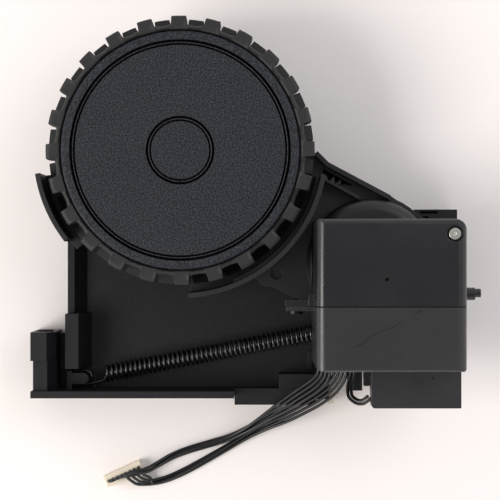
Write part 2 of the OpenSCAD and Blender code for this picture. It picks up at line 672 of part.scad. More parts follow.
module motor_can() {
    color([0.62, 0.62, 0.64]) placed() translate([motor_c[0], motor_c[1], 0]) difference() {
        union() {
            translate([0, 0, motor_z0]) cylinder(r = motor_r, h = motor_l, $fn = fine);
            translate([0, 0, motor_z0 - 1.6]) cylinder(r = motor_boss_r - seat, h = 1.7, $fn = mid);
        }
        translate([0, 0, 0]) cylinder(r = shaft_r + run_gap, h = 60, $fn = mid);
        for (p = motor_screw_spots)
            translate([p[0] - motor_c[0], p[1] - motor_c[1], motor_z0 - 1]) cylinder(r = 1.25, h = 4, $fn = mid);
        for (s = [-1, 1]) translate([s * (motor_r + 1), 0, motor_z1 - 5]) cube([3.2, 4, 12], center = true);
    }
}

module motor_end_cap() {
    color([0.85, 0.85, 0.82]) placed() translate([motor_c[0], motor_c[1], motor_z1 + eps]) difference() {
        union() {
            cylinder(r = motor_r - 0.6, h = 1.6, $fn = fine);
            cylinder(r = 3.6, h = 2.2, $fn = mid);
        }
        translate([0, 0, -1]) cylinder(r = shaft_r + run_gap, h = 6, $fn = mid);
    }
}

module motor_screws() {
    color([0.6, 0.6, 0.62]) placed() for (p = motor_screw_spots)
        translate([p[0], p[1], plate_z - 1 - eps]) pan_screw(2.2, 1, 1.2, 3.4);
}

module rotor_shaft() {
    color([0.75, 0.75, 0.77]) placed() translate([motor_c[0], motor_c[1], top_gear_z - 0.2])
        cylinder(r = shaft_r, h = motor_z1 + 4 - top_gear_z, $fn = mid);
}

module motor_pinion() {
    color([0.85, 0.8, 0.6]) placed() translate([motor_c[0], motor_c[1], top_gear_z - 0.4]) rotate([0, 0, motor_turn])
        difference() {
            linear_extrude(gear_t + 0.6) gear_outline(module_a, small_teeth);
            translate([0, 0, -1]) cylinder(r = shaft_r, h = 10, $fn = mid);
        }
}

magnet_z = motor_z1 + 2.6;
module encoder_magnet() {
    color([0.3, 0.3, 0.32]) placed() translate([motor_c[0], motor_c[1], magnet_z]) difference() {
        cylinder(r = 4, h = 1.4, $fn = mid);
        translate([0, 0, -1]) cylinder(r = shaft_r, h = 4, $fn = mid);
    }
}

board_z = magnet_z + 1.8;
module encoder_board() {
    color([0.1, 0.35, 0.2]) placed() translate([0, 0, board_z]) linear_extrude(1) difference() {
        translate([box_x0 + 6.4, box_y0 + 4.9]) square([box_w - 10.6, box_l - 13.2]);
        translate(pivot) circle(r = pin_to_side + 2, $fn = mid);
    }
}

module first_gear() {
    color([0.9, 0.88, 0.8]) placed()
        double_gear(drum_c, first_turn, module_a, first_teeth, top_gear_z, module_b, mid_gear_z - 0.2, top_gear_z + eps,
                    cavity_low + 0.3, plate_z - 0.4);
}

module second_gear() {
    color([0.9, 0.88, 0.8]) placed()
        double_gear(second_c, second_turn, module_b, large_teeth, mid_gear_z, module_c, low_gear_z - 0.2, mid_gear_z + eps,
                    cavity_low + 0.3, plate_z - 0.4);
}

module third_gear() {
    color([0.9, 0.88, 0.8]) placed()
        double_gear(third_c, third_turn, module_c, large_teeth, low_gear_z, module_d, top_gear_z - 0.2, top_gear_z + 2.7,
                    cavity_low + 0.3, plate_z - 0.4);
}

module gear_pins() {
    color([0.75, 0.75, 0.77]) placed() for (c = [drum_c, second_c, third_c])
        translate([c[0], c[1], cavity_low - pin_hold + seat])
            cylinder(r = gear_pin_r, h = plate_z - cavity_low + 2 * pin_hold - 2 * seat, $fn = mid);
}

// Axle, with a flat that drives the rim, its gear and its two bushes
rear_bush_z = [case_low, 6.4];
axle_z = [case_low + 0.2, tyre_back_z + 13];
module wheel_axle() {
    color([0.75, 0.75, 0.77]) placed() difference() {
        translate([0, 0, axle_z[0]]) cylinder(r = axle_r, h = axle_z[1] - axle_z[0], $fn = mid);
        block([axle_r - 0.5, -axle_r, boss_top_z + 1.2], [axle_r + 1, axle_r, axle_z[1] + 1]);
        translate([0, 0, axle_z[1] - 5]) cylinder(r = 1.2, h = 6, $fn = mid);
    }
}

module output_gear() {
    web_r = pitch_r(module_d, large_teeth) - 3;
    color([0.9, 0.88, 0.8]) placed() rotate([0, 0, out_turn]) difference() {
        union() {
            translate([0, 0, top_gear_z]) linear_extrude(gear_t) gear_outline(module_d, large_teeth);
            translate([0, 0, rear_bush_z[1] + 0.4]) cylinder(r = axle_r + 2, h = plate_z - rear_bush_z[1] - 0.8, $fn = mid);
        }
        translate([0, 0, 0]) cylinder(r = axle_r, h = 30, $fn = mid);
        translate([0, 0, top_gear_z - eps]) difference() {
            cylinder(r = web_r, h = 0.8, $fn = fine);
            translate([0, 0, -1]) cylinder(r = axle_r + 2.2, h = 3, $fn = mid);
        }
        for (a = [0 : 60 : 300])
            rotate([0, 0, a]) translate([web_r * 0.62, 0, top_gear_z - 1]) cylinder(r = 2.2, h = 5, $fn = mid);
    }
}

module bush(z0, z1) {
    translate([0, 0, z0]) difference() {
        cylinder(r = bush_r, h = z1 - z0, $fn = mid);
        translate([0, 0, -1]) cylinder(r = axle_r + run_gap, h = z1 - z0 + 2, $fn = mid);
    }
}

module front_bush() {
    color([0.6, 0.45, 0.25]) placed() bush(plate_z, boss_top_z + 0.6);
}

module rear_bush() {
    color([0.6, 0.45, 0.25]) placed() union() {
        bush(rear_bush_z[0], rear_bush_z[1]);
        translate([0, 0, cavity_low + eps]) difference() {
            cylinder(r = bush_r + 0.8, h = 0.6, $fn = mid);
            translate([0, 0, -1]) cylinder(r = axle_r + run_gap, h = 4, $fn = mid);
        }
    }
}

// Rim: barrel, web with spokes, hub
rim_lip_z = tyre_face_z - 2.4;
web_z = [tyre_back_z + 9, tyre_back_z + 11];
spokes = 6;
module wheel_rim() {
    color([0.12, 0.12, 0.13]) placed() difference() {
        union() {
            rotate_extrude($fn = fine) polygon([
                [axle_r, boss_top_z + 1.2], [hub_r - 3.4, boss_top_z + 1.2], [hub_r - 3.4, web_z[0]],
                [rim_r - rim_wall, web_z[0]], [rim_r - rim_wall, tyre_back_z + 0.6], [rim_r - seat, tyre_back_z + 0.6],
                [rim_r - seat, rim_lip_z], [rim_r - rim_wall, rim_lip_z], [rim_r - rim_wall, web_z[1]],
                [hub_r - 3.4, web_z[1]], [hub_r - 3.4, axle_z[1] - 0.3], [axle_r, axle_z[1] - 0.3]
            ]);
            for (a = [0 : 360 / spokes : 359])
                rotate([0, 0, a]) block([hub_r - 4, -0.9, tyre_back_z + 4], [rim_r - rim_wall + 0.5, 0.9, web_z[1] - eps]);
            block([axle_r - 0.5, -axle_r + 0.6, boss_top_z + 1.2], [axle_r + 1, axle_r - 0.6, axle_z[1] - 0.3]);
        }
        for (a = [0 : 360 / spokes : 359])
            rotate([0, 0, a + 180 / spokes]) translate([19, 0, web_z[0] - 1]) cylinder(r = 4.2, h = 5, $fn = mid);
    }
}

module tread_pocket(w, z0, z1) {
    bottom = tyre_r - tread_depth;
    translate([0, 0, z0]) linear_extrude(z1 - z0) polygon([
        [tyre_r + 1, -w / 2], [bottom + 0.8, -w / 2], [bottom + 0.25, -w / 2 + 0.75], [bottom, 0],
        [bottom + 0.25, w / 2 - 0.75], [bottom + 0.8, w / 2], [tyre_r + 1, w / 2]
    ]);
}

module tyre() {
    step = 360 / tread_blocks;
    pocket_w = 2 * PI * tyre_r / tread_blocks * (1 - block_share);
    middle = tyre_back_z + tyre_w / 2;
    color([0.09, 0.09, 0.1]) placed() difference() {
        rotate_extrude($fn = fine) polygon([
            [rim_r, tyre_back_z], [tyre_r - 1.2, tyre_back_z], [tyre_r, tyre_back_z + 1], [tyre_r, tyre_face_z - 1],
            [tyre_r - 1.2, tyre_face_z], [rim_r + 0.4, tyre_face_z], [rim_r, tyre_face_z - 0.4]
        ]);
        for (i = [0 : tread_blocks - 1]) {
            rotate([0, 0, (i + 0.5) * step + 0.6]) tread_pocket(pocket_w, middle, tyre_face_z + 1);
            rotate([0, 0, i * step + 0.9]) tread_pocket(pocket_w, tyre_back_z - 1, middle - 0.01);
        }
    }
}

module hub_cap() {
    cap_r = rim_r - cap_gap;
    top = tyre_face_z - 0.3;
    color([0.12, 0.12, 0.14]) placed() rotate_extrude($fn = fine) polygon([
        [0, top - 1.8], [rim_r - rim_wall - 0.3, top - 1.8], [rim_r - rim_wall - 0.3, rim_lip_z + seat],
        [cap_r, rim_lip_z + seat], [cap_r, top - 0.5], [cap_r - 0.4, top],
        [cap_groove_r + 0.35, top], [cap_groove_r + 0.25, top - 0.45], [cap_groove_r - 0.25, top - 0.45],
        [cap_groove_r - 0.35, top - 0.1], [cap_ring_r + 0.35, top - 0.1], [cap_ring_r + 0.25, top - 0.45],
        [cap_ring_r - 0.25, top - 0.45], [cap_ring_r - 0.35, top - 0.1], [0, top - 0.1]
    ]);
}

module axle_screw() {
    color([0.6, 0.6, 0.62]) placed() translate([0, 0, axle_z[1] + 1.2 + eps]) mirror([0, 0, 1])
        pan_screw(3.4, 1.2, 1.2, 4);
}

// Extension spring: each turn is one flat half ring and one leaning half ring, so that the wire runs on smoothly
loop_r = 1.9;
loop_sweep = 285;
lean = atan2(coil_pitch, 2 * coil_r);
lean_r = sqrt(coil_r * coil_r + coil_pitch * coil_pitch / 4);
module wire_arc(r, angle) {
    rotate_extrude(angle = angle, $fn = mid) translate([r, 0]) circle(d = spring_wire, $fn = 16);
}

// One turn, with its axis along X and its ends at the lowest point
module spring_turn(i) {
    translate([spring_leg + i * coil_pitch, 0, 0]) rotate([0, 90, 0]) {
        wire_arc(coil_r, 180);
        translate([0, 0, coil_pitch / 2]) rotate([0, -lean, 0]) rotate([0, 0, 180]) wire_arc(lean_r, 180);
    }
}

// Hook round a peg at the origin, all in the plane of the coil's lowest wire
module spring_hook() {
    translate([0, 0, -coil_r]) {
        translate([spring_leg - loop_r, 0, 0]) rotate([0, 0, -90]) wire_arc(loop_r, 90);
        translate([0, -loop_r, 0]) rotate([0, 90, 0]) cylinder(d = spring_wire, h = spring_leg - loop_r, $fn = 16);
        rotate([0, 0, -90 - loop_sweep]) wire_arc(loop_r, loop_sweep);
    }
}

module tension_spring() {
    color([0.3, 0.3, 0.31]) placed() translate([anchor[0], anchor[1], spring_z])
        rotate([0, 0, spring_tilt])
            for (i = [-1 : coils])
                if (i < 0) spring_hook();
                else if (i < coils) spring_turn(i);
                else translate([2 * spring_leg + spring_l, 0, 0]) rotate([0, 0, 180]) spring_hook();
}

// Cable: flat strands swept along points of [x, y, z, width, thickness]; they narrow to round bundles on the way
start_y = box_y0 + slot_deep;
upper_route = [
    [36.8, start_y, 19.2, 3.8, 1.2], [36.5, -57.4, 19, 4, 1.2], [34.6, -60, 17, 4.2, 1.2], [32, -62.2, 14, 4.2, 1.2],
    [29, -64.4, 11.8, 4, 1.3], [25.4, -67, 9.2, 3.6, 1.4], [21.4, -69.8, 6.4, 3, 1.6], [17, -72.8, 3.6, 2.4, 1.8],
    [12, -75.4, 1.8, 2, 1.8], [6.4, -77.2, 1.2, 1.8, 1.8], [1, -78.8, 1.1, 1.8, 1.8], [-3.6, -80.6, 1.2, 1.8, 1.8],
    [-7.4, -82.6, 2.8, 1.8, 1.8], [-10.6, -84, 4.9, 1.8, 1.8], [-13.6, -84.9, 5.9, 1.7, 1.7], [-16.4, -85.6, 6, 1.6, 1.6],
    [-18.2, -86, 5, 1.6, 1.6], [-18.7, -86.1, plug_h, 1.6, 1.6]
];
lower_route = [
    [41, start_y, 19.2, 3.8, 1.2], [40.8, -57.6, 18.6, 4, 1.2], [38.8, -61, 16.6, 4.2, 1.2], [35.4, -64, 13.4, 4.2, 1.2],
    [31.2, -66.8, 9.8, 4, 1.2], [26.6, -69.6, 6.4, 3.6, 1.3], [21.8, -72.2, 3.6, 3, 1.4], [16.4, -75.2, 1.6, 2.4, 1.5],
    [10.6, -78.6, 1, 2, 1.6], [5, -81.8, 1, 1.8, 1.6], [-0.2, -84.6, 1, 1.8, 1.6], [-4.8, -86.6, 1, 1.8, 1.6],
    [-8.6, -87.5, 1.2, 1.8, 1.6], [-11.6, -87.2, 1.5, 1.8, 1.6], [-12.9, -86.3, 1.7, 1.8, 1.6]
];
lead_route = [
    [44.1, start_y, 19.3, 1.8, 1], [44, -57.2, 19.2, 1.8, 1], [43.3, -60.2, 19.6, 1.8, 1], [43.4, -62.7, 21.2, 1.8, 1],
    [44.9, -63.9, 23.8, 1.8, 1], [46.2, -63.8, 26.8, 1.8, 1], [47.2, -62.9, 29.2, 1.8, 1], [pod_x[0] - 0.3, -62.3, 29.9, 1.8, 1]
];
route_steps = 2;
tube_sides = 8;
function along_curve(a, b, c, d, t) =
    0.5 * (2 * b + (c - a) * t + (2 * a - 5 * b + 4 * c - d) * t * t + (3 * b - a - 3 * c + d) * t * t * t);
function route_at(r, i) = r[max(0, min(len(r) - 1, i))];
function smooth_route(r) = concat(
    [for (i = [0 : len(r) - 2]) for (k = [0 : route_steps - 1])
        along_curve(route_at(r, i - 1), r[i], r[i + 1], route_at(r, i + 2), k / route_steps)],
    [r[len(r) - 1]]
);
function xyz(p) = [p[0], p[1], p[2]];
function unit(v) = v / norm(v);
function tube_ring(p, ahead, flat) =
    let (side = unit([flat[1], -flat[0], 0]), rise = unit(cross(side, ahead)), f = 0.5 / cos(180 / tube_sides))
    [for (k = [0 : tube_sides - 1]) let (a = (k + 0.5) * 360 / tube_sides)
        xyz(p) + side * p[3] * f * cos(a) + rise * p[4] * f * sin(a)];

// A tube along a route, with its two end faces square to the given directions
module flat_tube(route, first_dir, last_dir) {
    r = smooth_route(route);
    n = len(r);
    s = tube_sides;
    points = [for (i = [0 : n - 1])
        let (step = xyz(route_at(r, min(i + 1, n - 1))) - xyz(route_at(r, max(i - 1, 0))))
        let (ahead = i == 0 ? first_dir : i == n - 1 ? last_dir : unit(step))
        each tube_ring(r[i], ahead, abs(ahead[2]) > 0.9 ? step : ahead)];
    sides = [for (i = [0 : n - 2]) for (k = [0 : s - 1])
        let (a = i * s + k, b = i * s + (k + 1) % s) each [[a, b, b + s], [a, b + s, a + s]]];
    polyhedron(points, concat([[for (k = [s - 1 : -1 : 0]) k]], sides, [[for (k = [0 : s - 1]) (n - 1) * s + k]]), 4);
}

module cable_upper() {
    color([0.12, 0.12, 0.13]) placed() flat_tube(upper_route, [0, -1, 0], [0, 0, -1]);
}

plug_c = [-16.4, -85.05];
plug_turn = 24.6;
module cable_lower() {
    end_dir = [-sin(plug_turn), cos(plug_turn), 0];
    tip = plug_c + 3.2 * [cos(plug_turn), sin(plug_turn)] - plug_w / 2 * [end_dir[0], end_dir[1]];
    color([0.12, 0.12, 0.13]) placed()
        flat_tube(concat(lower_route, [[tip[0], tip[1], 1.7, 1.8, 1.6]]), [0, -1, 0], end_dir);
}

plug_ways = 8;
module connector() {
    way = 1.25;
    color([0.88, 0.85, 0.74]) placed() translate([plug_c[0], plug_c[1], 0]) rotate([0, 0, plug_turn]) difference() {
        block([-plug_l / 2, -plug_w / 2, 0], [plug_l / 2, plug_w / 2, plug_h]);
        for (i = [0 : plug_ways - 1])
            translate([(i - (plug_ways - 1) / 2) * way, 0, 0]) {
                block([-0.3, plug_w / 2 - 0.35, 0.9], [0.3, plug_w, 2.5]);
                block([-0.35, -0.5, -1], [0.35, 0.5, 1.6]);
            }
    }
}

module switch_lead() {
    color([0.12, 0.12, 0.13]) placed() flat_tube(lead_route, [0, -1, 0], [1, 0, 0]);
}

module cable_clip() {
    color([0.88, 0.85, 0.74]) placed() difference() {
        block([pad_right, -pad_low + 0.2 + 1.5 - 1.4, 1.2], [pad_right + 1.4, -62.3, 7]);
        block([pad_right + 0.7, -pad_low - 1, 3], [pad_right + 2, -63.1, 5.2]);
    }
}

base_bracket();
screw_block();
pivot_pin();
swing_arm();
gear_cover();
cover_screws();
box_upper();
box_lower();
box_screw();
motor_can();
motor_end_cap();
motor_screws();
rotor_shaft();
motor_pinion();
encoder_magnet();
encoder_board();
first_gear();
second_gear();
third_gear();
output_gear();
gear_pins();
wheel_axle();
front_bush();
rear_bush();
wheel_rim();
tyre();
hub_cap();
axle_screw();
tension_spring();
cable_upper();
cable_lower();
connector();
switch_lead();
cable_clip();
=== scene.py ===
"""Drive wheel module of a robot vacuum: its looks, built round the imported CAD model."""

import logging
import math
from dataclasses import dataclass, field
from enum import Enum

import bmesh
import bpy
import numpy as np
from mathutils import Matrix, Vector

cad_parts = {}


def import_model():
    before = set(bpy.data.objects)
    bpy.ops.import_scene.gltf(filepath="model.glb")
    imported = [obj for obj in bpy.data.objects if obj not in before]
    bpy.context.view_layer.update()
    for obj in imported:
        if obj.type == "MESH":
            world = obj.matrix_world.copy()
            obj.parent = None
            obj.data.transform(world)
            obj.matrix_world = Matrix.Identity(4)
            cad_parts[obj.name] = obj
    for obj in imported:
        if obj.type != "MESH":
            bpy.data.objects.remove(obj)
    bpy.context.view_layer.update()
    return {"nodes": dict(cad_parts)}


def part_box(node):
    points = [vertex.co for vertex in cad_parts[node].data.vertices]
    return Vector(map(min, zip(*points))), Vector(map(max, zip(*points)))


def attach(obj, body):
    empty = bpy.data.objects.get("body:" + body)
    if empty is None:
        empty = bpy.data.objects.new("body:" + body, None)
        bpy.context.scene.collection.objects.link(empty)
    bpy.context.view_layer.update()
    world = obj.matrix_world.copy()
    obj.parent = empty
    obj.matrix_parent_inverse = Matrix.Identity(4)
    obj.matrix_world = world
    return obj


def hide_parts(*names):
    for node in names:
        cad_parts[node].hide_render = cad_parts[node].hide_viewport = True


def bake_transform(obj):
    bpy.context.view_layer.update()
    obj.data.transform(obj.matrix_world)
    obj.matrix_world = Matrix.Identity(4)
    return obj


log = logging.getLogger("wheel_module")
Point = tuple[float, float, float]
MM = 0.001


# Frame and helpers


def linear(hex_colour: str) -> tuple[float, float, float, float]:
    """Turn an sRGB hex colour into the linear values that the shaders take.

    Args:
        hex_colour: Six hex digits, such as "1d1e20".

    Returns:
        Linear red, green and blue, with alpha 1.
    """
    parts = [int(hex_colour[i : i + 2], 16) / 255 for i in (0, 2, 4)]
    red, green, blue = [c / 12.92 if c <= 0.04045 else ((c + 0.055) / 1.055) ** 2.4 for c in parts]
    return red, green, blue, 1.0


class Place:
    """The drawing's own frame: millimetres from the wheel axis, with the back plane at height 0."""

    def __init__(self) -> None:
        """Take the wheel axis from the middle of the CAD tyre."""
        low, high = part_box("tyre")
        self.axis_x = (low[0] + high[0]) / 2
        self.axis_y = (low[1] + high[1]) / 2

    def at(self, x: float, y: float, z: float) -> Vector:
        """Return the row-frame point, in metres, of a drawing point in millimetres."""
        return Vector((x * MM + self.axis_x, y * MM + self.axis_y, z * MM))

    def shift(self) -> Matrix:
        """Return the matrix that carries metres round the wheel axis into the row frame."""
        return Matrix.Translation((self.axis_x, self.axis_y, 0.0))


def add_node(
    tree: bpy.types.NodeTree,
    kind: str,
    settings: dict | None = None,
    values: dict | None = None,
    links: dict | None = None,
) -> bpy.types.Node:
    """Add a node with its settings, its socket values and its incoming links.

    Args:
        tree: The shader or geometry tree.
        kind: The node's type name.
        settings: Attributes of the node itself.
        values: Default values by input socket name or index.
        links: Output sockets by input socket name or index.

    Returns:
        The new node.
    """
    node = tree.nodes.new(kind)
    for name, value in (settings or {}).items():
        setattr(node, name, value)
    for key, value in (values or {}).items():
        node.inputs[key].default_value = value
    for key, socket in (links or {}).items():
        tree.links.new(socket, node.inputs[key])
    return node


def mesh_object(name: str, verts: list, faces: list, smooth: bool = True) -> bpy.types.Object:
    """Make an object from points and faces, linked to the scene.

    Args:
        name: The object's name.
        verts: Points in metres.
        faces: Index lists.
        smooth: Whether its faces shade smoothly.

    Returns:
        The new object, sitting at the origin.
    """
    mesh = bpy.data.meshes.new(name)
    mesh.from_pydata([tuple(v) for v in verts], [], [tuple(f) for f in faces])
    mesh.update()
    obj = bpy.data.objects.new(name, mesh)
    bpy.context.scene.collection.objects.link(obj)
    for polygon in mesh.polygons:
        polygon.use_smooth = smooth
    return obj


def tidy_normals(obj: bpy.types.Object, merge: float = 1e-6) -> None:
    """Merge doubles and turn every face outwards.

    Args:
        obj: A closed mesh object.
        merge: Distance in metres under which points merge.
    """
    bm = bmesh.new()
    bm.from_mesh(obj.data)
    bmesh.ops.remove_doubles(bm, verts=bm.verts, dist=merge)
    bmesh.ops.recalc_face_normals(bm, faces=bm.faces)
    bm.to_mesh(obj.data)
    bm.free()
    obj.data.update()


def join(name: str, parts: list[bpy.types.Object]) -> bpy.types.Object:
    """Join mesh objects into one new object and remove the parts.

    Args:
        name: The joined object's name.
        parts: Mesh objects at the origin.

    Returns:
        The joined object.
    """
    bm = bmesh.new()
    materials: list[bpy.types.Material] = []
    for part in parts:
        offset = len(bm.faces)
        bm.from_mesh(part.data)
        bm.faces.ensure_lookup_table()
        remap = []
        for slot in part.data.materials:
            if slot not in materials:
                materials.append(slot)
            remap.append(materials.index(slot))
        for face in bm.faces[offset:]:
            face.material_index = remap[face.material_index] if remap else 0
    mesh = bpy.data.meshes.new(name)
    bm.to_mesh(mesh)
    bm.free()
    for material in materials:
        mesh.materials.append(material)
    for part in parts:
        bpy.data.objects.remove(part, do_unlink=True)
    obj = bpy.data.objects.new(name, mesh)
    bpy.context.scene.collection.objects.link(obj)
    return obj


def lathe(name: str, profile: list[tuple[float, float]], steps: int = 128) -> bpy.types.Object:
    """Turn a closed profile about the vertical axis.

    Args:
        name: The object's name.
        profile: Closed outline of (radius, height) in millimetres.
        steps: Divisions of the turn.

    Returns:
        The turned object, round the origin.
    """
    verts, faces = [], []
    count = len(profile)
    for i in range(steps):
        a = 2 * math.pi * i / steps
        verts += [(r * MM * math.cos(a), r * MM * math.sin(a), z * MM) for r, z in profile]
    for i in range(steps):
        j = (i + 1) % steps
        for k in range(count):
            m = (k + 1) % count
            faces.append((i * count + k, j * count + k, j * count + m, i * count + m))
    obj = mesh_object(name, verts, faces)
    bm = bmesh.new()
    bm.from_mesh(obj.data)
    bmesh.ops.remove_doubles(bm, verts=bm.verts, dist=1e-7)
    bmesh.ops.dissolve_degenerate(bm, edges=bm.edges, dist=1e-8)
    loose = [edge for edge in bm.edges if not edge.link_faces]
    bmesh.ops.delete(bm, geom=loose, context="EDGES")
    bmesh.ops.recalc_face_normals(bm, faces=bm.faces)
    bm.to_mesh(obj.data)
    bm.free()
    obj.data.set_sharp_from_angle(angle=math.radians(40))
    return obj


def tube(name: str, path: list[Vector], radius: float, sides: int = 10) -> bpy.types.Object:
    """Sweep a round section along a path, with closed ends.

    Args:
        name: The object's name.
        path: Centreline points in metres.
        radius: Section radius in metres.
        sides: Corners of the section.

    Returns:
        The tube.
    """
    verts, faces = [], []
    tangents = []
    for i, _ in enumerate(path):
        ahead = path[min(i + 1, len(path) - 1)] - path[max(i - 1, 0)]
        tangents.append(ahead.normalized())
    side = tangents[0].orthogonal().normalized()
    for i, centre in enumerate(path):
        side = (side - tangents[i] * side.dot(tangents[i])).normalized()
        rise = tangents[i].cross(side)
        for k in range(sides):
            a = 2 * math.pi * k / sides
            verts.append(centre + (side * math.cos(a) + rise * math.sin(a)) * radius)
    for i in range(len(path) - 1):
        for k in range(sides):
            m = (k + 1) % sides
            faces.append((i * sides + k, i * sides + m, (i + 1) * sides + m, (i + 1) * sides + k))
    last = (len(path) - 1) * sides
    faces.append(tuple(range(sides - 1, -1, -1)))
    faces.append(tuple(last + k for k in range(sides)))
    return mesh_object(name, verts, faces)


def smooth_path(points: list[Vector], steps: int = 4) -> list[Vector]:
    """Run one smooth curve through a list of points.

    Args:
        points: The points to pass.
        steps: New points for each stretch.

    Returns:
        The finer list of points.
    """
    out = []
    last = len(points) - 1
    for i in range(last):
        a, b = points[max(i - 1, 0)], points[i]
        c, d = points[i + 1], points[min(i + 2, last)]
        for k in range(steps):
            t = k / steps
            out.append(
                0.5 * (2 * b + (c - a) * t + (2 * a - 5 * b + 4 * c - d) * t**2 + (3 * b - a - 3 * c + d) * t**3)
            )
    out.append(points[-1].copy())
    return out


# Finishes


class Metal(Enum):
    """Whether a finish is bare metal."""

    NO = 0.0
    YES = 1.0


@dataclass(frozen=True)
class Finish:
    """A moulded, ground or plated surface with its grain, mottling and softened edges.

    Attributes:
        name: The real material's plain name.
        colour: Its sRGB hex colour.
        roughness: Middle roughness.
        metal: Whether it is bare metal.
        grain_mm: Width of a grain of the surface.
        grain_depth_mm: Height of that grain.
        cloud_mm: Width of the slow patches of lighter and rougher surface.
        cloud: Strength of those patches, from 0 to 1.
        edge_mm: Radius at which sharp edges look softened.
        stretch: How much the grain is drawn out along X, Y and Z.
        coat: Strength of a thin clear gloss over the surface.
        grain_top_highlight: How much lighter the tops of the grain are painted than the rest, as a factor: a painted
            highlight for the light that the grain's tops catch.
        reflect: Level of the surface's mirror reflection.
    """

    name: str
    colour: str
    roughness: float
    metal: Metal = Metal.NO
    grain_mm: float = 0.35
    grain_depth_mm: float = 0.01
    cloud_mm: float = 9.0
    cloud: float = 0.12
    edge_mm: float = 0.2
    stretch: Point = (1.0, 1.0, 1.0)
    coat: float = 0.0
    grain_top_highlight: float = 0.0
    reflect: float = 0.5

    def start(self) -> tuple[bpy.types.Material, bpy.types.Node]:
        """Build the material's nodes.

        Returns:
            The material and its shader node.
        """
        material = bpy.data.materials.new(self.name)
        material.use_nodes = True
        tree = material.node_tree
        shader = tree.nodes["Principled BSDF"]
        shader.inputs["Metallic"].default_value = self.metal.value
        shader.inputs["Coat Weight"].default_value = self.coat
        shader.inputs["Coat Roughness"].default_value = 0.2
        shader.inputs["Specular IOR Level"].default_value = self.reflect
        place = add_node(tree, "ShaderNodeTexCoord")
        drawn = add_node(
            tree, "ShaderNodeMapping", values={"Scale": self.stretch}, links={"Vector": place.outputs["Object"]}
        )
        grain = add_node(
            tree,
            "ShaderNodeTexNoise",
            values={"Scale": 1 / (self.grain_mm * MM), "Detail": 2.0, "Roughness": 0.55},
            links={"Vector": drawn.outputs["Vector"]},
        )
        cloud = add_node(
            tree,
            "ShaderNodeTexNoise",
            values={"Scale": 1 / (self.cloud_mm * MM), "Detail": 4.0, "Roughness": 0.6},
            links={"Vector": drawn.outputs["Vector"]},
        )
        base = linear(self.colour)
        lift = 1.0 + 2.2 * self.cloud
        tone = add_node(
            tree,
            "ShaderNodeMix",
            {"data_type": "RGBA"},
            {6: base, 7: (min(base[0] * lift, 1), min(base[1] * lift, 1), min(base[2] * lift, 1), 1.0)},
            {0: cloud.outputs["Fac"]},
        )
        colour = tone.outputs[2]
        # Painted highlight: the tops of the grain get a lighter colour, standing in for the light that they catch.
        if self.grain_top_highlight > 0:
            tops = add_node(
                tree,
                "ShaderNodeMapRange",
                values={"From Min": 0.4, "From Max": 0.78, "To Min": 0.0, "To Max": 1.0},
                links={"Value": grain.outputs["Fac"]},
            )
            bright = 1.0 + self.grain_top_highlight
            grain_highlighted = add_node(
                tree,
                "ShaderNodeMix",
                {"data_type": "RGBA"},
                {7: (min(base[0] * bright, 1), min(base[1] * bright, 1), min(base[2] * bright, 1), 1.0)},
                {0: tops.outputs["Result"], 6: colour},
            )
            colour = grain_highlighted.outputs[2]
        gloss = add_node(
            tree,
            "ShaderNodeMapRange",
            values={
                "From Min": 0.3,
                "From Max": 0.7,
                "To Min": max(self.roughness - 0.5 * self.cloud, 0.04),
                "To Max": min(self.roughness + 0.5 * self.cloud, 1.0),
            },
            links={"Value": cloud.outputs["Fac"]},
        )
        soft_edge = add_node(tree, "ShaderNodeBevel", {"samples": 4}, {"Radius": self.edge_mm * MM})
        bump = add_node(
            tree,
            "ShaderNodeBump",
            values={"Strength": 1.0, "Distance": self.grain_depth_mm * MM},
            links={"Height": grain.outputs["Fac"], "Normal": soft_edge.outputs["Normal"]},
        )
        tree.links.new(colour, shader.inputs["Base Color"])
        tree.links.new(gloss.outputs["Result"], shader.inputs["Roughness"])
        tree.links.new(bump.outputs["Normal"], shader.inputs["Normal"])
        return material, shader

    def make(self) -> bpy.types.Material:
        """Return the finished material."""
        return self.start()[0]


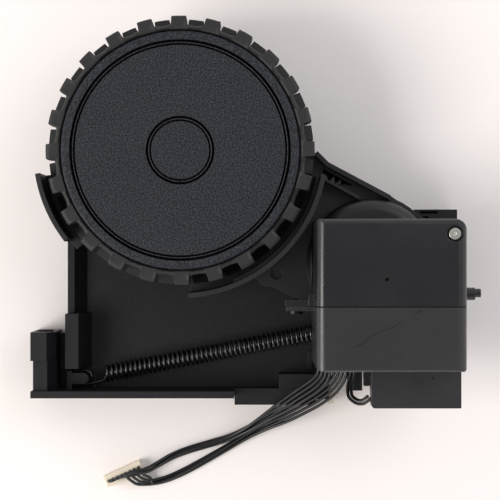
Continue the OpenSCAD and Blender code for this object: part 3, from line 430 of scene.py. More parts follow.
@dataclass(frozen=True)
class MarkedPlastic(Finish):
    """Smooth ABS whose front face carries thin scratches, small rough blots and thin lines of painted shade.

    Attributes:
        scratch_and_shade_lines: Lines of (x, y) points in row-frame metres, both scratches and lines of painted shade
            along seams.
        scratch_and_shade_mm: Width of each line, scratch and painted shade alike.
        blots: For each blot its x and y in row-frame metres, its radius in mm and its strength.
        above: Height in metres above which the marks lie.
        mark_and_shade_colour: The sRGB hex colour of the marks and of the painted shade lines.
    """

    scratch_and_shade_lines: tuple[tuple[tuple[float, float], ...], ...] = ()
    scratch_and_shade_mm: float = 0.16
    blots: tuple[tuple[float, float, float, float], ...] = ()
    above: float = 0.03
    mark_and_shade_colour: str = "030303"

    def line_mask(
        self, tree: bpy.types.NodeTree, flat: bpy.types.NodeSocket, a: tuple[float, float], b: tuple[float, float]
    ) -> bpy.types.NodeSocket:
        """Return a mask that is 1 on the straight line between two points.

        Args:
            tree: The material's tree.
            flat: The position without its height.
            a: First point.
            b: Second point.

        Returns:
            The mask's socket.
        """
        run = (b[0] - a[0], b[1] - a[1], 0.0)
        squared = run[0] ** 2 + run[1] ** 2
        from_a = add_node(tree, "ShaderNodeVectorMath", {"operation": "SUBTRACT"}, {1: (a[0], a[1], 0.0)}, {0: flat})
        along = add_node(
            tree, "ShaderNodeVectorMath", {"operation": "DOT_PRODUCT"}, {1: run}, {0: from_a.outputs["Vector"]}
        )
        share = add_node(
            tree, "ShaderNodeMath", {"operation": "DIVIDE", "use_clamp": True}, {1: squared}, {0: along.outputs["Value"]}
        )
        foot = add_node(tree, "ShaderNodeVectorMath", {"operation": "SCALE"}, {0: run}, {"Scale": share.outputs[0]})
        reach = add_node(
            tree,
            "ShaderNodeVectorMath",
            {"operation": "DISTANCE"},
            links={0: from_a.outputs["Vector"], 1: foot.outputs["Vector"]},
        )
        half = self.scratch_and_shade_mm * MM / 2
        mask = add_node(
            tree,
            "ShaderNodeMapRange",
            values={"From Min": half, "From Max": 0.3 * half, "To Min": 0.0, "To Max": 1.0},
            links={"Value": reach.outputs["Value"]},
        )
        return mask.outputs["Result"]

    def blot_mask(
        self, tree: bpy.types.NodeTree, flat: bpy.types.NodeSocket, blot: tuple[float, float, float, float]
    ) -> bpy.types.NodeSocket:
        """Return a patchy mask round one point.

        Args:
            tree: The material's tree.
            flat: The position without its height.
            blot: Its x, y, radius in mm and strength.

        Returns:
            The mask's socket.
        """
        x, y, radius, strength = blot
        reach = add_node(tree, "ShaderNodeVectorMath", {"operation": "DISTANCE"}, {1: (x, y, 0.0)}, {0: flat})
        disc = add_node(
            tree,
            "ShaderNodeMapRange",
            values={"From Min": radius * MM, "From Max": 0.2 * radius * MM, "To Min": 0.0, "To Max": strength},
            links={"Value": reach.outputs["Value"]},
        )
        patches = add_node(
            tree, "ShaderNodeTexNoise", values={"Scale": 1.6 / (radius * MM), "Detail": 5.0}, links={"Vector": flat}
        )
        sharp = add_node(
            tree,
            "ShaderNodeMapRange",
            values={"From Min": 0.42, "From Max": 0.5, "To Min": 0.0, "To Max": 1.0},
            links={"Value": patches.outputs["Fac"]},
        )
        both = add_node(
            tree, "ShaderNodeMath", {"operation": "MULTIPLY"}, links={0: disc.outputs["Result"], 1: sharp.outputs["Result"]}
        )
        return both.outputs[0]

    def make(self) -> bpy.types.Material:
        """Return the material with its marks and painted shade lines darkened and dulled."""
        material, shader = self.start()
        tree = material.node_tree
        place = add_node(tree, "ShaderNodeTexCoord")
        parts = add_node(tree, "ShaderNodeSeparateXYZ", links={"Vector": place.outputs["Object"]})
        flat = add_node(
            tree, "ShaderNodeCombineXYZ", links={"X": parts.outputs["X"], "Y": parts.outputs["Y"]}
        ).outputs["Vector"]
        masks = [self.line_mask(tree, flat, a, b) for line in self.scratch_and_shade_lines for a, b in zip(line, line[1:])]
        masks += [self.blot_mask(tree, flat, blot) for blot in self.blots]
        if not masks:
            return material
        total = masks[0]
        for mask in masks[1:]:
            total = add_node(tree, "ShaderNodeMath", {"operation": "MAXIMUM"}, links={0: total, 1: mask}).outputs[0]
        high = add_node(
            tree, "ShaderNodeMath", {"operation": "GREATER_THAN"}, {1: self.above}, {0: parts.outputs["Z"]}
        )
        total = add_node(
            tree, "ShaderNodeMath", {"operation": "MULTIPLY"}, links={0: total, 1: high.outputs[0]}
        ).outputs[0]
        # Scratches and blots darken as real marks; the seam lines darken as painted shade.
        clean = shader.inputs["Base Color"].links[0].from_socket
        worn_and_shaded = add_node(
            tree, "ShaderNodeMix", {"data_type": "RGBA"}, {7: linear(self.mark_and_shade_colour)}, {0: total, 6: clean}
        )
        tree.links.new(worn_and_shaded.outputs[2], shader.inputs["Base Color"])
        clean = shader.inputs["Roughness"].links[0].from_socket
        dull = add_node(tree, "ShaderNodeMix", {"data_type": "FLOAT"}, {3: 0.9}, {0: total, 2: clean})
        tree.links.new(dull.outputs[0], shader.inputs["Roughness"])
        dim = add_node(tree, "ShaderNodeMix", {"data_type": "FLOAT"}, {2: self.reflect, 3: 0.06}, {0: total})
        tree.links.new(dim.outputs[0], shader.inputs["Specular IOR Level"])
        return material


@dataclass
class Palette:
    """Every finish of the module, each made once."""

    made: dict[str, bpy.types.Material] = field(default_factory=dict)

    # Spark-eroded moulds leave a leathery grain on the cap, the bracket and the arm
    # The cap's and the bracket's grain tops carry a painted highlight, lightened in colour.
    cap = Finish(
        "abs_grained_cap", "0a0b0e", 0.48, grain_mm=0.4, grain_depth_mm=0.07, cloud_mm=14, cloud=0.1, grain_top_highlight=15.0,
        reflect=0.3,
    )
    # Near-black dull finish of the cap's grooves: painted shade for the shadow in them.
    groove = Finish("abs_groove_painted_shade", "040405", 0.6, grain_depth_mm=0.002, reflect=0.1)
    bracket = Finish(
        "nylon_grained_bracket", "0b0b0e", 0.5, grain_mm=0.5, grain_depth_mm=0.03, cloud_mm=11, grain_top_highlight=2.5, reflect=0.34
    )
    arm = Finish("abs_satin_arm", "111113", 0.42, grain_mm=0.3, grain_depth_mm=0.008, cloud_mm=10)
    pin = Finish("steel_ground_pin", "d0cec8", 0.24, Metal.YES, 0.25, 0.002, 3, 0.1, 0.12, (1.0, 1.0, 8.0))
    shaft = Finish("steel_ground_shaft", "bcbab6", 0.3, Metal.YES, 0.25, 0.002, 3, 0.1, 0.1, (1.0, 1.0, 8.0))
    screw = Finish("steel_zinc_screw", "b4b2ac", 0.36, Metal.YES, 0.3, 0.004, 2, 0.2, 0.08)
    black_screw = Finish("steel_blackened_screw", "2a2a2b", 0.4, Metal.YES, 0.3, 0.004, 2, 0.2, 0.08)
    can = Finish("steel_drawn_can", "a6a5a2", 0.34, Metal.YES, 0.4, 0.003, 6, 0.15, 0.3, (1.0, 1.0, 6.0))
    nylon = Finish("nylon_natural_cap", "d8d5c8", 0.5, grain_mm=0.5, grain_depth_mm=0.006)
    acetal = Finish("acetal_natural_gear", "e3e0d4", 0.4, grain_mm=0.4, grain_depth_mm=0.003, edge_mm=0.06)
    brass = Finish("brass_cut_pinion", "c8a766", 0.3, Metal.YES, 0.3, 0.003, 3, 0.1, 0.05)
    bronze = Finish("bronze_sintered_bush", "8e7049", 0.5, Metal.YES, 0.3, 0.01, 3, 0.2, 0.1)
    ferrite = Finish("ferrite_bonded_magnet", "2c2c2e", 0.55, grain_mm=0.2, grain_depth_mm=0.01)
    board = Finish("epoxy_green_board", "16432a", 0.35, grain_mm=0.3, grain_depth_mm=0.003, coat=0.4)
    rubber = Finish("rubber_moulded_tyre", "131314", 0.56, grain_mm=0.3, grain_depth_mm=0.008, cloud_mm=7, cloud=0.14)
    spring = Finish("steel_oiled_spring", "4a4a4b", 0.33, Metal.YES, 0.3, 0.003, 4, 0.2, 0.05)
    wire = Finish("pvc_black_insulation", "0e0e10", 0.34, grain_mm=0.5, grain_depth_mm=0.004, cloud_mm=5, edge_mm=0.05)
    plug = Finish("nylon_cream_plug", "ddd2be", 0.42, grain_mm=0.4, grain_depth_mm=0.004, cloud_mm=3, edge_mm=0.1)
    contact = Finish("tin_plated_contact", "c9c7bf", 0.3, Metal.YES, 0.2, 0.003, 1, 0.2, 0.04)

    def get(self, finish: Finish) -> bpy.types.Material:
        """Return the one material of a finish."""
        if finish.name not in self.made:
            self.made[finish.name] = finish.make()
        return self.made[finish.name]

    def dress(self, obj: bpy.types.Object, finish: Finish) -> None:
        """Give every slot of an object one finish.

        Args:
            obj: The object to dress.
            finish: Its finish.
        """
        material = self.get(finish)
        if not obj.data.materials:
            obj.data.materials.append(material)
        for slot in obj.material_slots:
            slot.material = material


# Geometry node trees


def node_group(name: str, inputs: list[tuple[str, str, object]]) -> bpy.types.NodeTree:
    """Start a geometry tree with named inputs.

    Args:
        name: The tree's name.
        inputs: Name, socket type and default of each input after the geometry.

    Returns:
        The tree, with a geometry input and output.
    """
    tree = bpy.data.node_groups.new(name, "GeometryNodeTree")
    tree.interface.new_socket("Geometry", in_out="INPUT", socket_type="NodeSocketGeometry")
    for label, kind, default in inputs:
        socket = tree.interface.new_socket(label, in_out="INPUT", socket_type=kind)
        if default is not None:
            socket.default_value = default
    tree.interface.new_socket("Geometry", in_out="OUTPUT", socket_type="NodeSocketGeometry")
    return tree


def run_tree(obj: bpy.types.Object, tree: bpy.types.NodeTree, values: dict[str, object]) -> bpy.types.Object:
    """Run a geometry tree on an object and keep its result as a plain mesh.

    Args:
        obj: The object that feeds the tree; it is removed.
        tree: The geometry tree.
        values: Input values by name.

    Returns:
        A new object with the result and no modifier.
    """
    modifier = obj.modifiers.new("build", "NODES")
    modifier.node_group = tree
    for item in tree.interface.items_tree:
        if item.item_type == "SOCKET" and item.in_out == "INPUT" and item.name in values:
            modifier[item.identifier] = values[item.name]
    bpy.context.view_layer.update()
    evaluated = obj.evaluated_get(bpy.context.evaluated_depsgraph_get())
    mesh = bpy.data.meshes.new_from_object(evaluated)
    mesh.materials.clear()
    mesh.materials.append(values["Material"])
    for polygon in mesh.polygons:
        polygon.material_index = 0
    name = obj.name
    bpy.data.objects.remove(obj, do_unlink=True)
    out = bpy.data.objects.new(name, mesh)
    mesh.name = name
    bpy.context.scene.collection.objects.link(out)
    return out


def ring_array_tree() -> bpy.types.NodeTree:
    """Build the tree that repeats a segment round the vertical axis and seals its seams.

    Returns:
        The tree, with inputs Count, Step, Seal and Material.
    """
    tree = node_group(
        "ring_array",
        [
            ("Count", "NodeSocketInt", 24),
            ("Step", "NodeSocketFloat", 0.26),
            ("Seal", "NodeSocketFloat", 1e-6),
            ("Material", "NodeSocketMaterial", None),
        ],
    )
    into = add_node(tree, "NodeGroupInput")
    points = add_node(tree, "GeometryNodePoints", links={"Count": into.outputs["Count"]})
    index = add_node(tree, "GeometryNodeInputIndex")
    turn = add_node(
        tree, "ShaderNodeMath", {"operation": "MULTIPLY"}, links={0: index.outputs[0], 1: into.outputs["Step"]}
    )
    angles = add_node(tree, "ShaderNodeCombineXYZ", links={"Z": turn.outputs[0]})
    copies = add_node(
        tree,
        "GeometryNodeInstanceOnPoints",
        links={"Points": points.outputs[0], "Instance": into.outputs["Geometry"], "Rotation": angles.outputs[0]},
    )
    real = add_node(tree, "GeometryNodeRealizeInstances", links={"Geometry": copies.outputs[0]})
    sealed = add_node(
        tree, "GeometryNodeMergeByDistance", links={"Geometry": real.outputs[0], "Distance": into.outputs["Seal"]}
    )
    smooth = add_node(tree, "GeometryNodeSetShadeSmooth", links={"Geometry": sealed.outputs[0]})
    dressed = add_node(
        tree,
        "GeometryNodeSetMaterial",
        links={"Geometry": smooth.outputs[0], "Material": into.outputs["Material"]},
    )
    add_node(tree, "NodeGroupOutput", links={0: dressed.outputs[0]})
    return tree


def coil_tree() -> bpy.types.NodeTree:
    """Build the tree that winds a wire into a coil along the vertical axis.

    Returns:
        The tree, with inputs Turns, Radius, Length, Wire and Material.
    """
    tree = node_group(
        "wound_coil",
        [
            ("Turns", "NodeSocketFloat", 44.0),
            ("Radius", "NodeSocketFloat", 0.002),
            ("Length", "NodeSocketFloat", 0.056),
            ("Wire", "NodeSocketFloat", 0.0004),
            ("Material", "NodeSocketMaterial", None),
        ],
    )
    into = add_node(tree, "NodeGroupInput")
    helix = add_node(
        tree,
        "GeometryNodeCurveSpiral",
        values={"Resolution": 28},
        links={
            "Rotations": into.outputs["Turns"],
            "Start Radius": into.outputs["Radius"],
            "End Radius": into.outputs["Radius"],
            "Height": into.outputs["Length"],
        },
    )
    section = add_node(
        tree, "GeometryNodeCurvePrimitiveCircle", values={"Resolution": 10}, links={"Radius": into.outputs["Wire"]}
    )
    wire = add_node(
        tree,
        "GeometryNodeCurveToMesh",
        values={"Fill Caps": True},
        links={"Curve": helix.outputs[0], "Profile Curve": section.outputs[0]},
    )
    real = add_node(tree, "GeometryNodeRealizeInstances", links={"Geometry": wire.outputs[0]})
    smooth = add_node(tree, "GeometryNodeSetShadeSmooth", links={"Geometry": real.outputs[0]})
    dressed = add_node(
        tree,
        "GeometryNodeSetMaterial",
        links={"Geometry": smooth.outputs[0], "Material": into.outputs["Material"]},
    )
    add_node(tree, "NodeGroupOutput", links={0: dressed.outputs[0]})
    return tree


# The wheel


@dataclass
class Tyre:
    """Rubber tyre with two staggered rows of tread blocks.

    Sizes are millimetres; angles are degrees.
    """

    palette: Palette
    place: Place
    blocks: int = 24
    bore_r: float = 30.2
    outer_r: float = 33.75
    back_z: float = 19.0
    face_z: float = 36.0
    depth: float = 2.4
    block_share: float = 0.46
    front_turn: float = 8.1
    rear_turn: float = 0.9
    wall: float = 0.34
    edge: float = 0.9
    lip: float = 0.16
    along_steps: int = 66

    def pocket(self, s: np.ndarray, half: float) -> np.ndarray:
        """Return how deep a pocket is at arc distance s from its middle, 0 outside it."""
        gone = np.clip((half + self.wall / 2 - np.abs(s)) / self.wall, 0, 1)
        gone = gone * gone * (3 - 2 * gone)
        bottom = 1.0 - 0.16 * (np.abs(s) / half) ** 2
        return self.depth * gone * np.clip(bottom, 0, 1)

    def segment(self) -> bpy.types.Object:
        """Build one pitch of the tyre as a closed section swept over its arc.

        Returns:
            The segment, round the origin.
        """
        pitch = 2 * math.pi / self.blocks
        arc = pitch * self.outer_r
        half = arc * (1 - self.block_share) / 2
        angles = np.linspace(0, pitch, self.along_steps + 1)

        def arc_from(turn: float) -> np.ndarray:
            """Return the arc distance of every angle from the nearest pocket middle."""
            off = (angles - math.radians(turn)) / pitch
            return (off - np.round(off)) * arc

        front = self.pocket(arc_from(self.front_turn), half)
        rear = self.pocket(arc_from(self.rear_turn), half)
        front_s = np.abs(arc_from(self.front_turn))
        middle = (self.back_z + self.face_z) / 2
        side_z = self.face_z - self.lip
        levels = [0, 0.12, 0.35, 0.65, 1.0, 2.6, 5.0, 7.6, 8.3, 8.46, 8.54, 8.7, 9.4, 12, 14.4, 16, 16.3, 16.55, 16.75, 16.84]
        rows = []
        for f in (0.0, 0.3, 0.6, 0.85):
            rows.append((self.bore_r + f * (self.outer_r - rear - self.edge - self.bore_r), self.back_z + 0 * angles))
        for h in levels:
            z = self.back_z + h
            low = np.clip((middle + 0.04 - z) / 0.08, 0, 1)
            cut = rear * low + front * (1 - low)
            from_edge = min(h, side_z - self.back_z - h)
            round_off = self.edge - math.sqrt(max(self.edge**2 - max(self.edge - from_edge, 0) ** 2, 0))
            rows.append((self.outer_r - cut - round_off, z + 0 * angles))
        for f in (0.88, 0.74, 0.6, 0.46, 0.32, 0.2, 0.1, 0.0):
            r = self.bore_r + 0.4 + f * (self.outer_r - front - self.edge - self.bore_r - 0.4)
            beside = np.maximum(front_s - half, 0)
            below = np.maximum(self.outer_r - self.depth - r, 0)
            near = np.exp(-((beside**2 + below**2) / 0.55**2)) * (r < self.outer_r)
            rows.append((r, side_z + self.lip * near * min(f * 4, 1)))
        rows.append((self.bore_r + 0 * angles, side_z - 0.4 + 0 * angles))
        verts, faces = [], []
        for r, z in rows:
            verts += [(rr * MM * math.cos(a), rr * MM * math.sin(a), zz * MM) for rr, zz, a in zip(r, z, angles)]
        width = len(angles)
        for i in range(len(rows)):
            j = (i + 1) % len(rows)
            for k in range(width - 1):
                faces.append((i * width + k, i * width + k + 1, j * width + k + 1, j * width + k))
        return mesh_object("tyre_rubber", verts, faces)

    def build(self, array: bpy.types.NodeTree) -> bpy.types.Object:
        """Repeat the segment into the whole tyre.

        Args:
            array: The ring array tree.

        Returns:
            The tyre, in place.
        """
        tyre = run_tree(
            self.segment(),
            array,
            {
                "Count": self.blocks,
                "Step": 2 * math.pi / self.blocks,
                "Seal": 2e-6,
                "Material": self.palette.get(Palette.rubber),
            },
        )
        tyre.data.transform(self.place.shift())
        tidy_normals(tyre, 1e-7)
        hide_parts("tyre")
        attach(tyre, "wheel")
        return tyre


@dataclass
class HubCap:
    """Grained cap with a ring groove near its edge and a ring round its middle. Millimetres."""

    palette: Palette
    place: Place
    edge_r: float = 29.95
    seat_r: float = 27.9
    top_z: float = 35.7
    seat_z: float = 33.65
    floor_z: float = 33.9
    groove_r: float = 27.0
    ring_r: float = 7.9

    def groove(self, r: float, half: float, depth: float, top: float) -> list[tuple[float, float]]:
        """Return the profile of a rounded groove, from outside to inside.

        Args:
            r: Middle radius.
            half: Half width.
            depth: Depth below the face.
            top: Height of the face.

        Returns:
            Profile points.
        """
        points = []
        for i in range(9):
            t = -1 + i / 4
            points.append((r - half * t, top - depth * (1 - t * t) ** 0.6))
        return points

    def build(self) -> bpy.types.Object:
        """Build the cap.

        Returns:
            The cap, in place.
        """
        top = self.top_z
        inner_top = top - 0.08
        profile = [(0.0, self.floor_z), (self.seat_r - 0.2, self.floor_z), (self.seat_r - 0.2, self.seat_z)]
        profile += [(self.edge_r, self.seat_z), (self.edge_r, top - 0.55)]
        for i in range(5):
            a = math.radians(90 * i / 4)
            profile.append((self.edge_r - 0.45 + 0.45 * math.cos(a), top - 0.45 + 0.45 * math.sin(a)))
        profile += [(self.edge_r - 1.2, top + 0.02)]
        profile += self.groove(self.groove_r + 0.42, 0.32, 0.9, top)
        profile += [(self.groove_r + 0.1, top - 0.04), (self.groove_r - 0.1, top - 0.04)]
        profile += self.groove(self.groove_r - 0.42, 0.24, 0.7, inner_top)
        profile += [(22.0, inner_top), (16.0, inner_top), (11.0, inner_top)]
        profile += self.groove(self.ring_r + 0.4, 0.3, 0.9, inner_top)
        profile += [(self.ring_r + 0.1, inner_top + 0.03), (self.ring_r - 0.1, inner_top + 0.03)]
        profile += self.groove(self.ring_r - 0.4, 0.22, 0.7, inner_top)
        profile += [(5.0, inner_top), (2.0, inner_top), (0.0, inner_top)]
        cap = lathe("hub_cap_grained", profile, 192)
        cap.data.transform(self.place.shift())
        self.palette.dress(cap, Palette.cap)
        # The grooves' faces get a near-black, dull finish: painted shade that stands in for the shadow in the grooves.
        cap.data.materials.append(self.palette.get(Palette.groove))
        shift = self.place.shift().translation
        for face in cap.data.polygons:
            reach = math.hypot(face.center.x - shift.x, face.center.y - shift.y) / MM
            if reach < self.edge_r - 1 and self.seat_z + 0.4 < face.center.z / MM < self.top_z - 0.16:
                face.material_index = 1
        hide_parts("hub_cap")
        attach(cap, "wheel")
        return cap


# Spring and cable


@dataclass
class TensionSpring:
    """Extension spring between the bracket's anchor and the arm's peg. Millimetres and degrees."""

    palette: Palette
    place: Place
    anchor: Point = (-26.7, -59.0, 7.0)
    tilt: float = 11.0
    turns: int = 44
    pitch: float = 1.28
    coil_r: float = 1.95
    wire_r: float = 0.36
    leg: float = 5.8
    loop_r: float = 1.9
    loop_sweep: float = 285.0

    def hook(self) -> list[Vector]:
        """Return the hook's centreline in metres, from the coil to the loop's end."""
        points = []
        for i in range(9):
            a = math.radians(-90 * i / 8)
            points.append((self.leg - self.loop_r + self.loop_r * math.cos(a), self.loop_r * math.sin(a)))
        steps = 30
        for i in range(steps + 1):
            a = math.radians(-90 - self.loop_sweep * i / steps)
            points.append((self.loop_r * math.cos(a), self.loop_r * math.sin(a)))
        return [Vector((x, y, -self.coil_r)) * MM for x, y in points]

    def build(self, winder: bpy.types.NodeTree) -> bpy.types.Object:
        """Wind the coil, bend its hooks and hang it between its pegs.

        Args:
            winder: The coil tree.

        Returns:
            The spring, in place.
        """
        length = self.turns * self.pitch
        material = self.palette.get(Palette.spring)
        coil = run_tree(
            mesh_object("coil", [], []),
            winder,
            {
                "Turns": float(self.turns),
                "Radius": self.coil_r * MM,
                "Length": length * MM,
                "Wire": self.wire_r * MM,
                "Material": material,
            },
        )
        upright = Matrix(((0, 0, 1, 0), (0, 1, 0, 0), (-1, 0, 0, 0), (0, 0, 0, 1)))
        coil.data.transform(Matrix.Translation((self.leg * MM, 0, 0)) @ upright)
        near = tube("hook_near", self.hook(), self.wire_r * MM)
        far = tube("hook_far", self.hook(), self.wire_r * MM)
        whole = (2 * self.leg + length) * MM
        far.data.transform(Matrix.Translation((whole, 0, 0)) @ Matrix.Rotation(math.pi, 4, "Z"))
        for part in (near, far):
            part.data.materials.append(material)
        spring = join("tension_spring_wound", [coil, near, far])
        seat = self.place.at(*self.anchor)
        turn = Matrix.Rotation(math.radians(self.tilt), 4, "Z")
        spring.data.transform(Matrix.Translation(seat) @ turn)
        tidy_normals(spring, 1e-7)
        for polygon in spring.data.polygons:
            polygon.use_smooth = True
        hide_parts("tension_spring")
        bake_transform(spring)
        return spring


class Strand(Enum):
    """The two strands of the cable and the lead of the wheel switch."""

    UPPER = "upper"
    LOWER = "lower"
    LEAD = "lead"


@dataclass
class Harness:
    """Eight separate wires in two strands, their plug, and the switch's two wires.

    Route points are x, y, z, width and thickness in millimetres, as in the CAD source.
    """

    palette: Palette
    place: Place
    wire_r: float = 0.43
    exit_y: float = -54.2
    plug_z: float = 3.4
    plug_middle: tuple[float, float] = (-16.4, -85.05)
    plug_turn: float = 24.6
    plug_size: Point = (10.6, 3.2, 3.4)
    ways: int = 8
    way: float = 1.25
    upper: tuple[tuple[float, ...], ...] = (
        (36.8, -54.2, 19.2, 3.8, 1.2), (36.5, -57.4, 19, 4, 1.2), (34.6, -60, 17, 4.2, 1.2),
        (32, -62.2, 14, 4.2, 1.2), (29, -64.4, 11.8, 4, 1.3), (25.4, -67, 9.2, 3.6, 1.4),
        (21.4, -69.8, 6.4, 3, 1.6), (17, -72.8, 3.6, 2.4, 1.8), (12, -75.4, 1.8, 2, 1.8),
        (6.4, -77.2, 1.2, 1.8, 1.8), (1, -78.8, 1.1, 1.8, 1.8), (-3.6, -80.6, 1.2, 1.8, 1.8),
        (-7.4, -82.6, 2.8, 1.8, 1.8), (-10.6, -84, 4.9, 1.8, 1.8),
    )
    lower: tuple[tuple[float, ...], ...] = (
        (41, -54.2, 19.2, 3.8, 1.2), (40.8, -57.6, 18.6, 4, 1.2), (38.8, -61, 16.6, 4.2, 1.2),
        (35.4, -64, 13.4, 4.2, 1.2), (31.2, -66.8, 9.8, 4, 1.2), (26.6, -69.6, 6.4, 3.6, 1.3),
        (21.8, -72.2, 3.6, 3, 1.4), (16.4, -75.2, 1.6, 2.4, 1.5), (10.6, -78.6, 1, 2, 1.6),
        (5, -81.8, 1, 1.8, 1.6), (-0.2, -84.6, 1, 1.8, 1.6), (-4.8, -86.6, 1, 1.8, 1.6),
        (-8.6, -87.5, 1.2, 1.8, 1.6),
    )
    lead: tuple[tuple[float, ...], ...] = (
        (44.1, -54.2, 19.3, 1.8, 1), (44, -57.2, 19.2, 1.8, 1), (43.3, -60.2, 19.6, 1.8, 1),
        (43.4, -62.7, 21.2, 1.8, 1), (44.9, -63.9, 23.8, 1.8, 1), (46.2, -63.8, 26.8, 1.8, 1),
        (47.2, -62.9, 29.2, 1.8, 1), (47.7, -62.3, 29.9, 1.8, 1),
    )

    def plug_axes(self) -> tuple[Vector, Vector]:
        """Return the plug's long and cross directions."""
        a = math.radians(self.plug_turn)
        return Vector((math.cos(a), math.sin(a), 0)), Vector((math.sin(a), -math.cos(a), 0))

    def contact(self, number: int) -> Vector:
        """Return the drawing point on the plug's wire face where wire number enters."""
        along, _ = self.plug_axes()
        middle = Vector((*self.plug_middle, self.plug_z))
        return middle + along * (number - (self.ways - 1) / 2) * self.way

    def wire_line(self, route: tuple[tuple[float, ...], ...], number: int, count: int) -> list[Vector]:
        """Return one wire's own line inside its strand, flat at the box and bundled further on.

        Args:
            route: The strand's route.
            number: The wire's place in the strand.
            count: Wires in the strand.

        Returns:
            Points in the drawing frame, in millimetres.
        """
        line = []
        last = len(route) - 1
        for i, (x, y, z, width, _) in enumerate(route):
            before, after = route[max(i - 1, 0)], route[min(i + 1, last)]
            ahead = Vector((after[0] - before[0], after[1] - before[1], after[2] - before[2])).normalized()
            side = Vector((ahead.y, -ahead.x, 0)).normalized()
            rise = side.cross(ahead).normalized()
            flat = min(max((width - 1.8) / 2.0, 0), 1) if count > 2 else 1.0
            flat = flat * flat * (3 - 2 * flat)
            spread = (number - (count - 1) / 2) * (width - 2 * self.wire_r) / (count - 1)
            corner = math.radians(45 + 90 * number + 14 * i)
            bundle = self.wire_r * 1.43
            off = side * (flat * spread + (1 - flat) * bundle * math.cos(corner))
            off += rise * (1 - flat) * bundle * math.sin(corner)
            if i == 0:
                off = side * spread
            point = Vector((x, y, z)) + off
            point.z = max(point.z, self.wire_r + 0.05)
            line.append(point)
        return line

    def to_plug(self, line: list[Vector], strand: Strand, number: int) -> list[Vector]:
        """Lead a wire from its strand's end over the plug and down into its contact.

        Args:
            line: The wire's line so far.
            strand: Its strand.
            number: The wire's place in the strand.

        Returns:
            The whole line.
        """
        along, across = self.plug_axes()
        if strand is Strand.UPPER:
            end = self.contact(number)
            crest = 6.1 + 0.15 * number
            line.append(end + along * 3.4 + across * 0.3 + Vector((0, 0, crest - self.plug_z - 0.9)))
            line.append(end + along * 1.5 + across * 0.15 + Vector((0, 0, crest - self.plug_z)))
            line.append(end + along * 0.35 + Vector((0, 0, (crest - self.plug_z) * 0.72)))
        else:
            end = self.contact(number + 4)
            line.append(end + across * 4.3 + along * 1.6 + Vector((0, 0, -1.7)))
            line.append(end + across * 2.6 + along * 0.6 + Vector((0, 0, 0.2)))
            line.append(end + across * 1.2 + along * 0.1 + Vector((0, 0, 1.25)))
            line.append(end + across * 0.3 + Vector((0, 0, 0.95)))
        line.append(end)
        return line

    def wires(self, strand: Strand) -> list[bpy.types.Object]:
        """Build the wires of one strand.

        Args:
            strand: Which strand.

        Returns:
            One tube for each wire.
        """
        route = {Strand.UPPER: self.upper, Strand.LOWER: self.lower, Strand.LEAD: self.lead}[strand]
        count = 2 if strand is Strand.LEAD else 4
        made = []
        for number in range(count):
            line = self.wire_line(route, number, count)
            if strand is not Strand.LEAD:
                line = self.to_plug(line, strand, number)
            path = smooth_path([self.place.at(*p) for p in line], 4)
            wire = tube(f"wire_{strand.value}_{number + 1}", path, self.wire_r * MM, 10)
            tidy_normals(wire, 1e-8)
            self.palette.dress(wire, Palette.wire)
            wire["route"] = [list(p) for p in path]
            made.append(wire)
        return made

    def plug(self) -> list[bpy.types.Object]:
        """Build the plug's housing with its windows, and its contacts.

        Returns:
            The housing and the contacts.
        """
        length, width, height = (v * MM for v in self.plug_size)
        turn = Matrix.Translation(self.place.at(*self.plug_middle, 0)) @ Matrix.Rotation(
            math.radians(self.plug_turn), 4, "Z"
        )
        bm = bmesh.new()
        bmesh.ops.create_cube(bm, size=1.0)
        bmesh.ops.scale(bm, vec=(length, width, height), verts=bm.verts)
        bmesh.ops.translate(bm, vec=(0, 0, height / 2), verts=bm.verts)
        bmesh.ops.bevel(bm, geom=bm.edges[:], offset=0.14 * MM, segments=2, affect="EDGES", profile=0.5)
        mesh = bpy.data.meshes.new("plug_housing")
        bm.to_mesh(mesh)
        bm.free()
        housing = bpy.data.objects.new("plug_housing", mesh)
        bpy.context.scene.collection.objects.link(housing)
        cutters, latches = [], []
        for i in range(self.ways):
            x = (i - (self.ways - 1) / 2) * self.way * MM
            cutters.append(self.box_at("cut", (x, width / 2, 1.7 * MM), (0.62 * MM, 0.7 * MM, 1.6 * MM)))
            cutters.append(self.box_at("cut", (x, -width / 2, 2.7 * MM), (0.5 * MM, 0.5 * MM, 0.9 * MM)))
            latches.append(self.box_at("latch", (x, width / 2 - 0.28 * MM, 1.7 * MM), (0.5 * MM, 0.1 * MM, 1.1 * MM)))
        cutter = join("cutter", cutters)
        tool = housing.modifiers.new("windows", "BOOLEAN")
        tool.operation = "DIFFERENCE"
        tool.solver = "EXACT"
        tool.object = cutter
        bpy.context.view_layer.update()
        cut = bpy.data.meshes.new_from_object(housing.evaluated_get(bpy.context.evaluated_depsgraph_get()))
        housing.modifiers.clear()
        housing.data = cut
        bpy.data.objects.remove(cutter, do_unlink=True)
        contacts = join("plug_contacts", latches)
        for obj, finish in ((housing, Palette.plug), (contacts, Palette.contact)):
            obj.data.materials.clear()
            obj.data.transform(turn)
            self.palette.dress(obj, finish)
        return [housing, contacts]

    def box_at(self, name: str, middle: Point, size: Point) -> bpy.types.Object:
        """Return a block of a size round a point, in metres."""
        x, y, z = (v / 2 for v in size)
        verts = [(middle[0] + i * x, middle[1] + j * y, middle[2] + k * z) for i in (-1, 1) for j in (-1, 1) for k in (-1, 1)]
        faces = [(0, 1, 3, 2), (4, 6, 7, 5), (0, 4, 5, 1), (2, 3, 7, 6), (0, 2, 6, 4), (1, 5, 7, 3)]
        obj = mesh_object(name, verts, faces, smooth=False)
        tidy_normals(obj, 1e-9)
        return obj

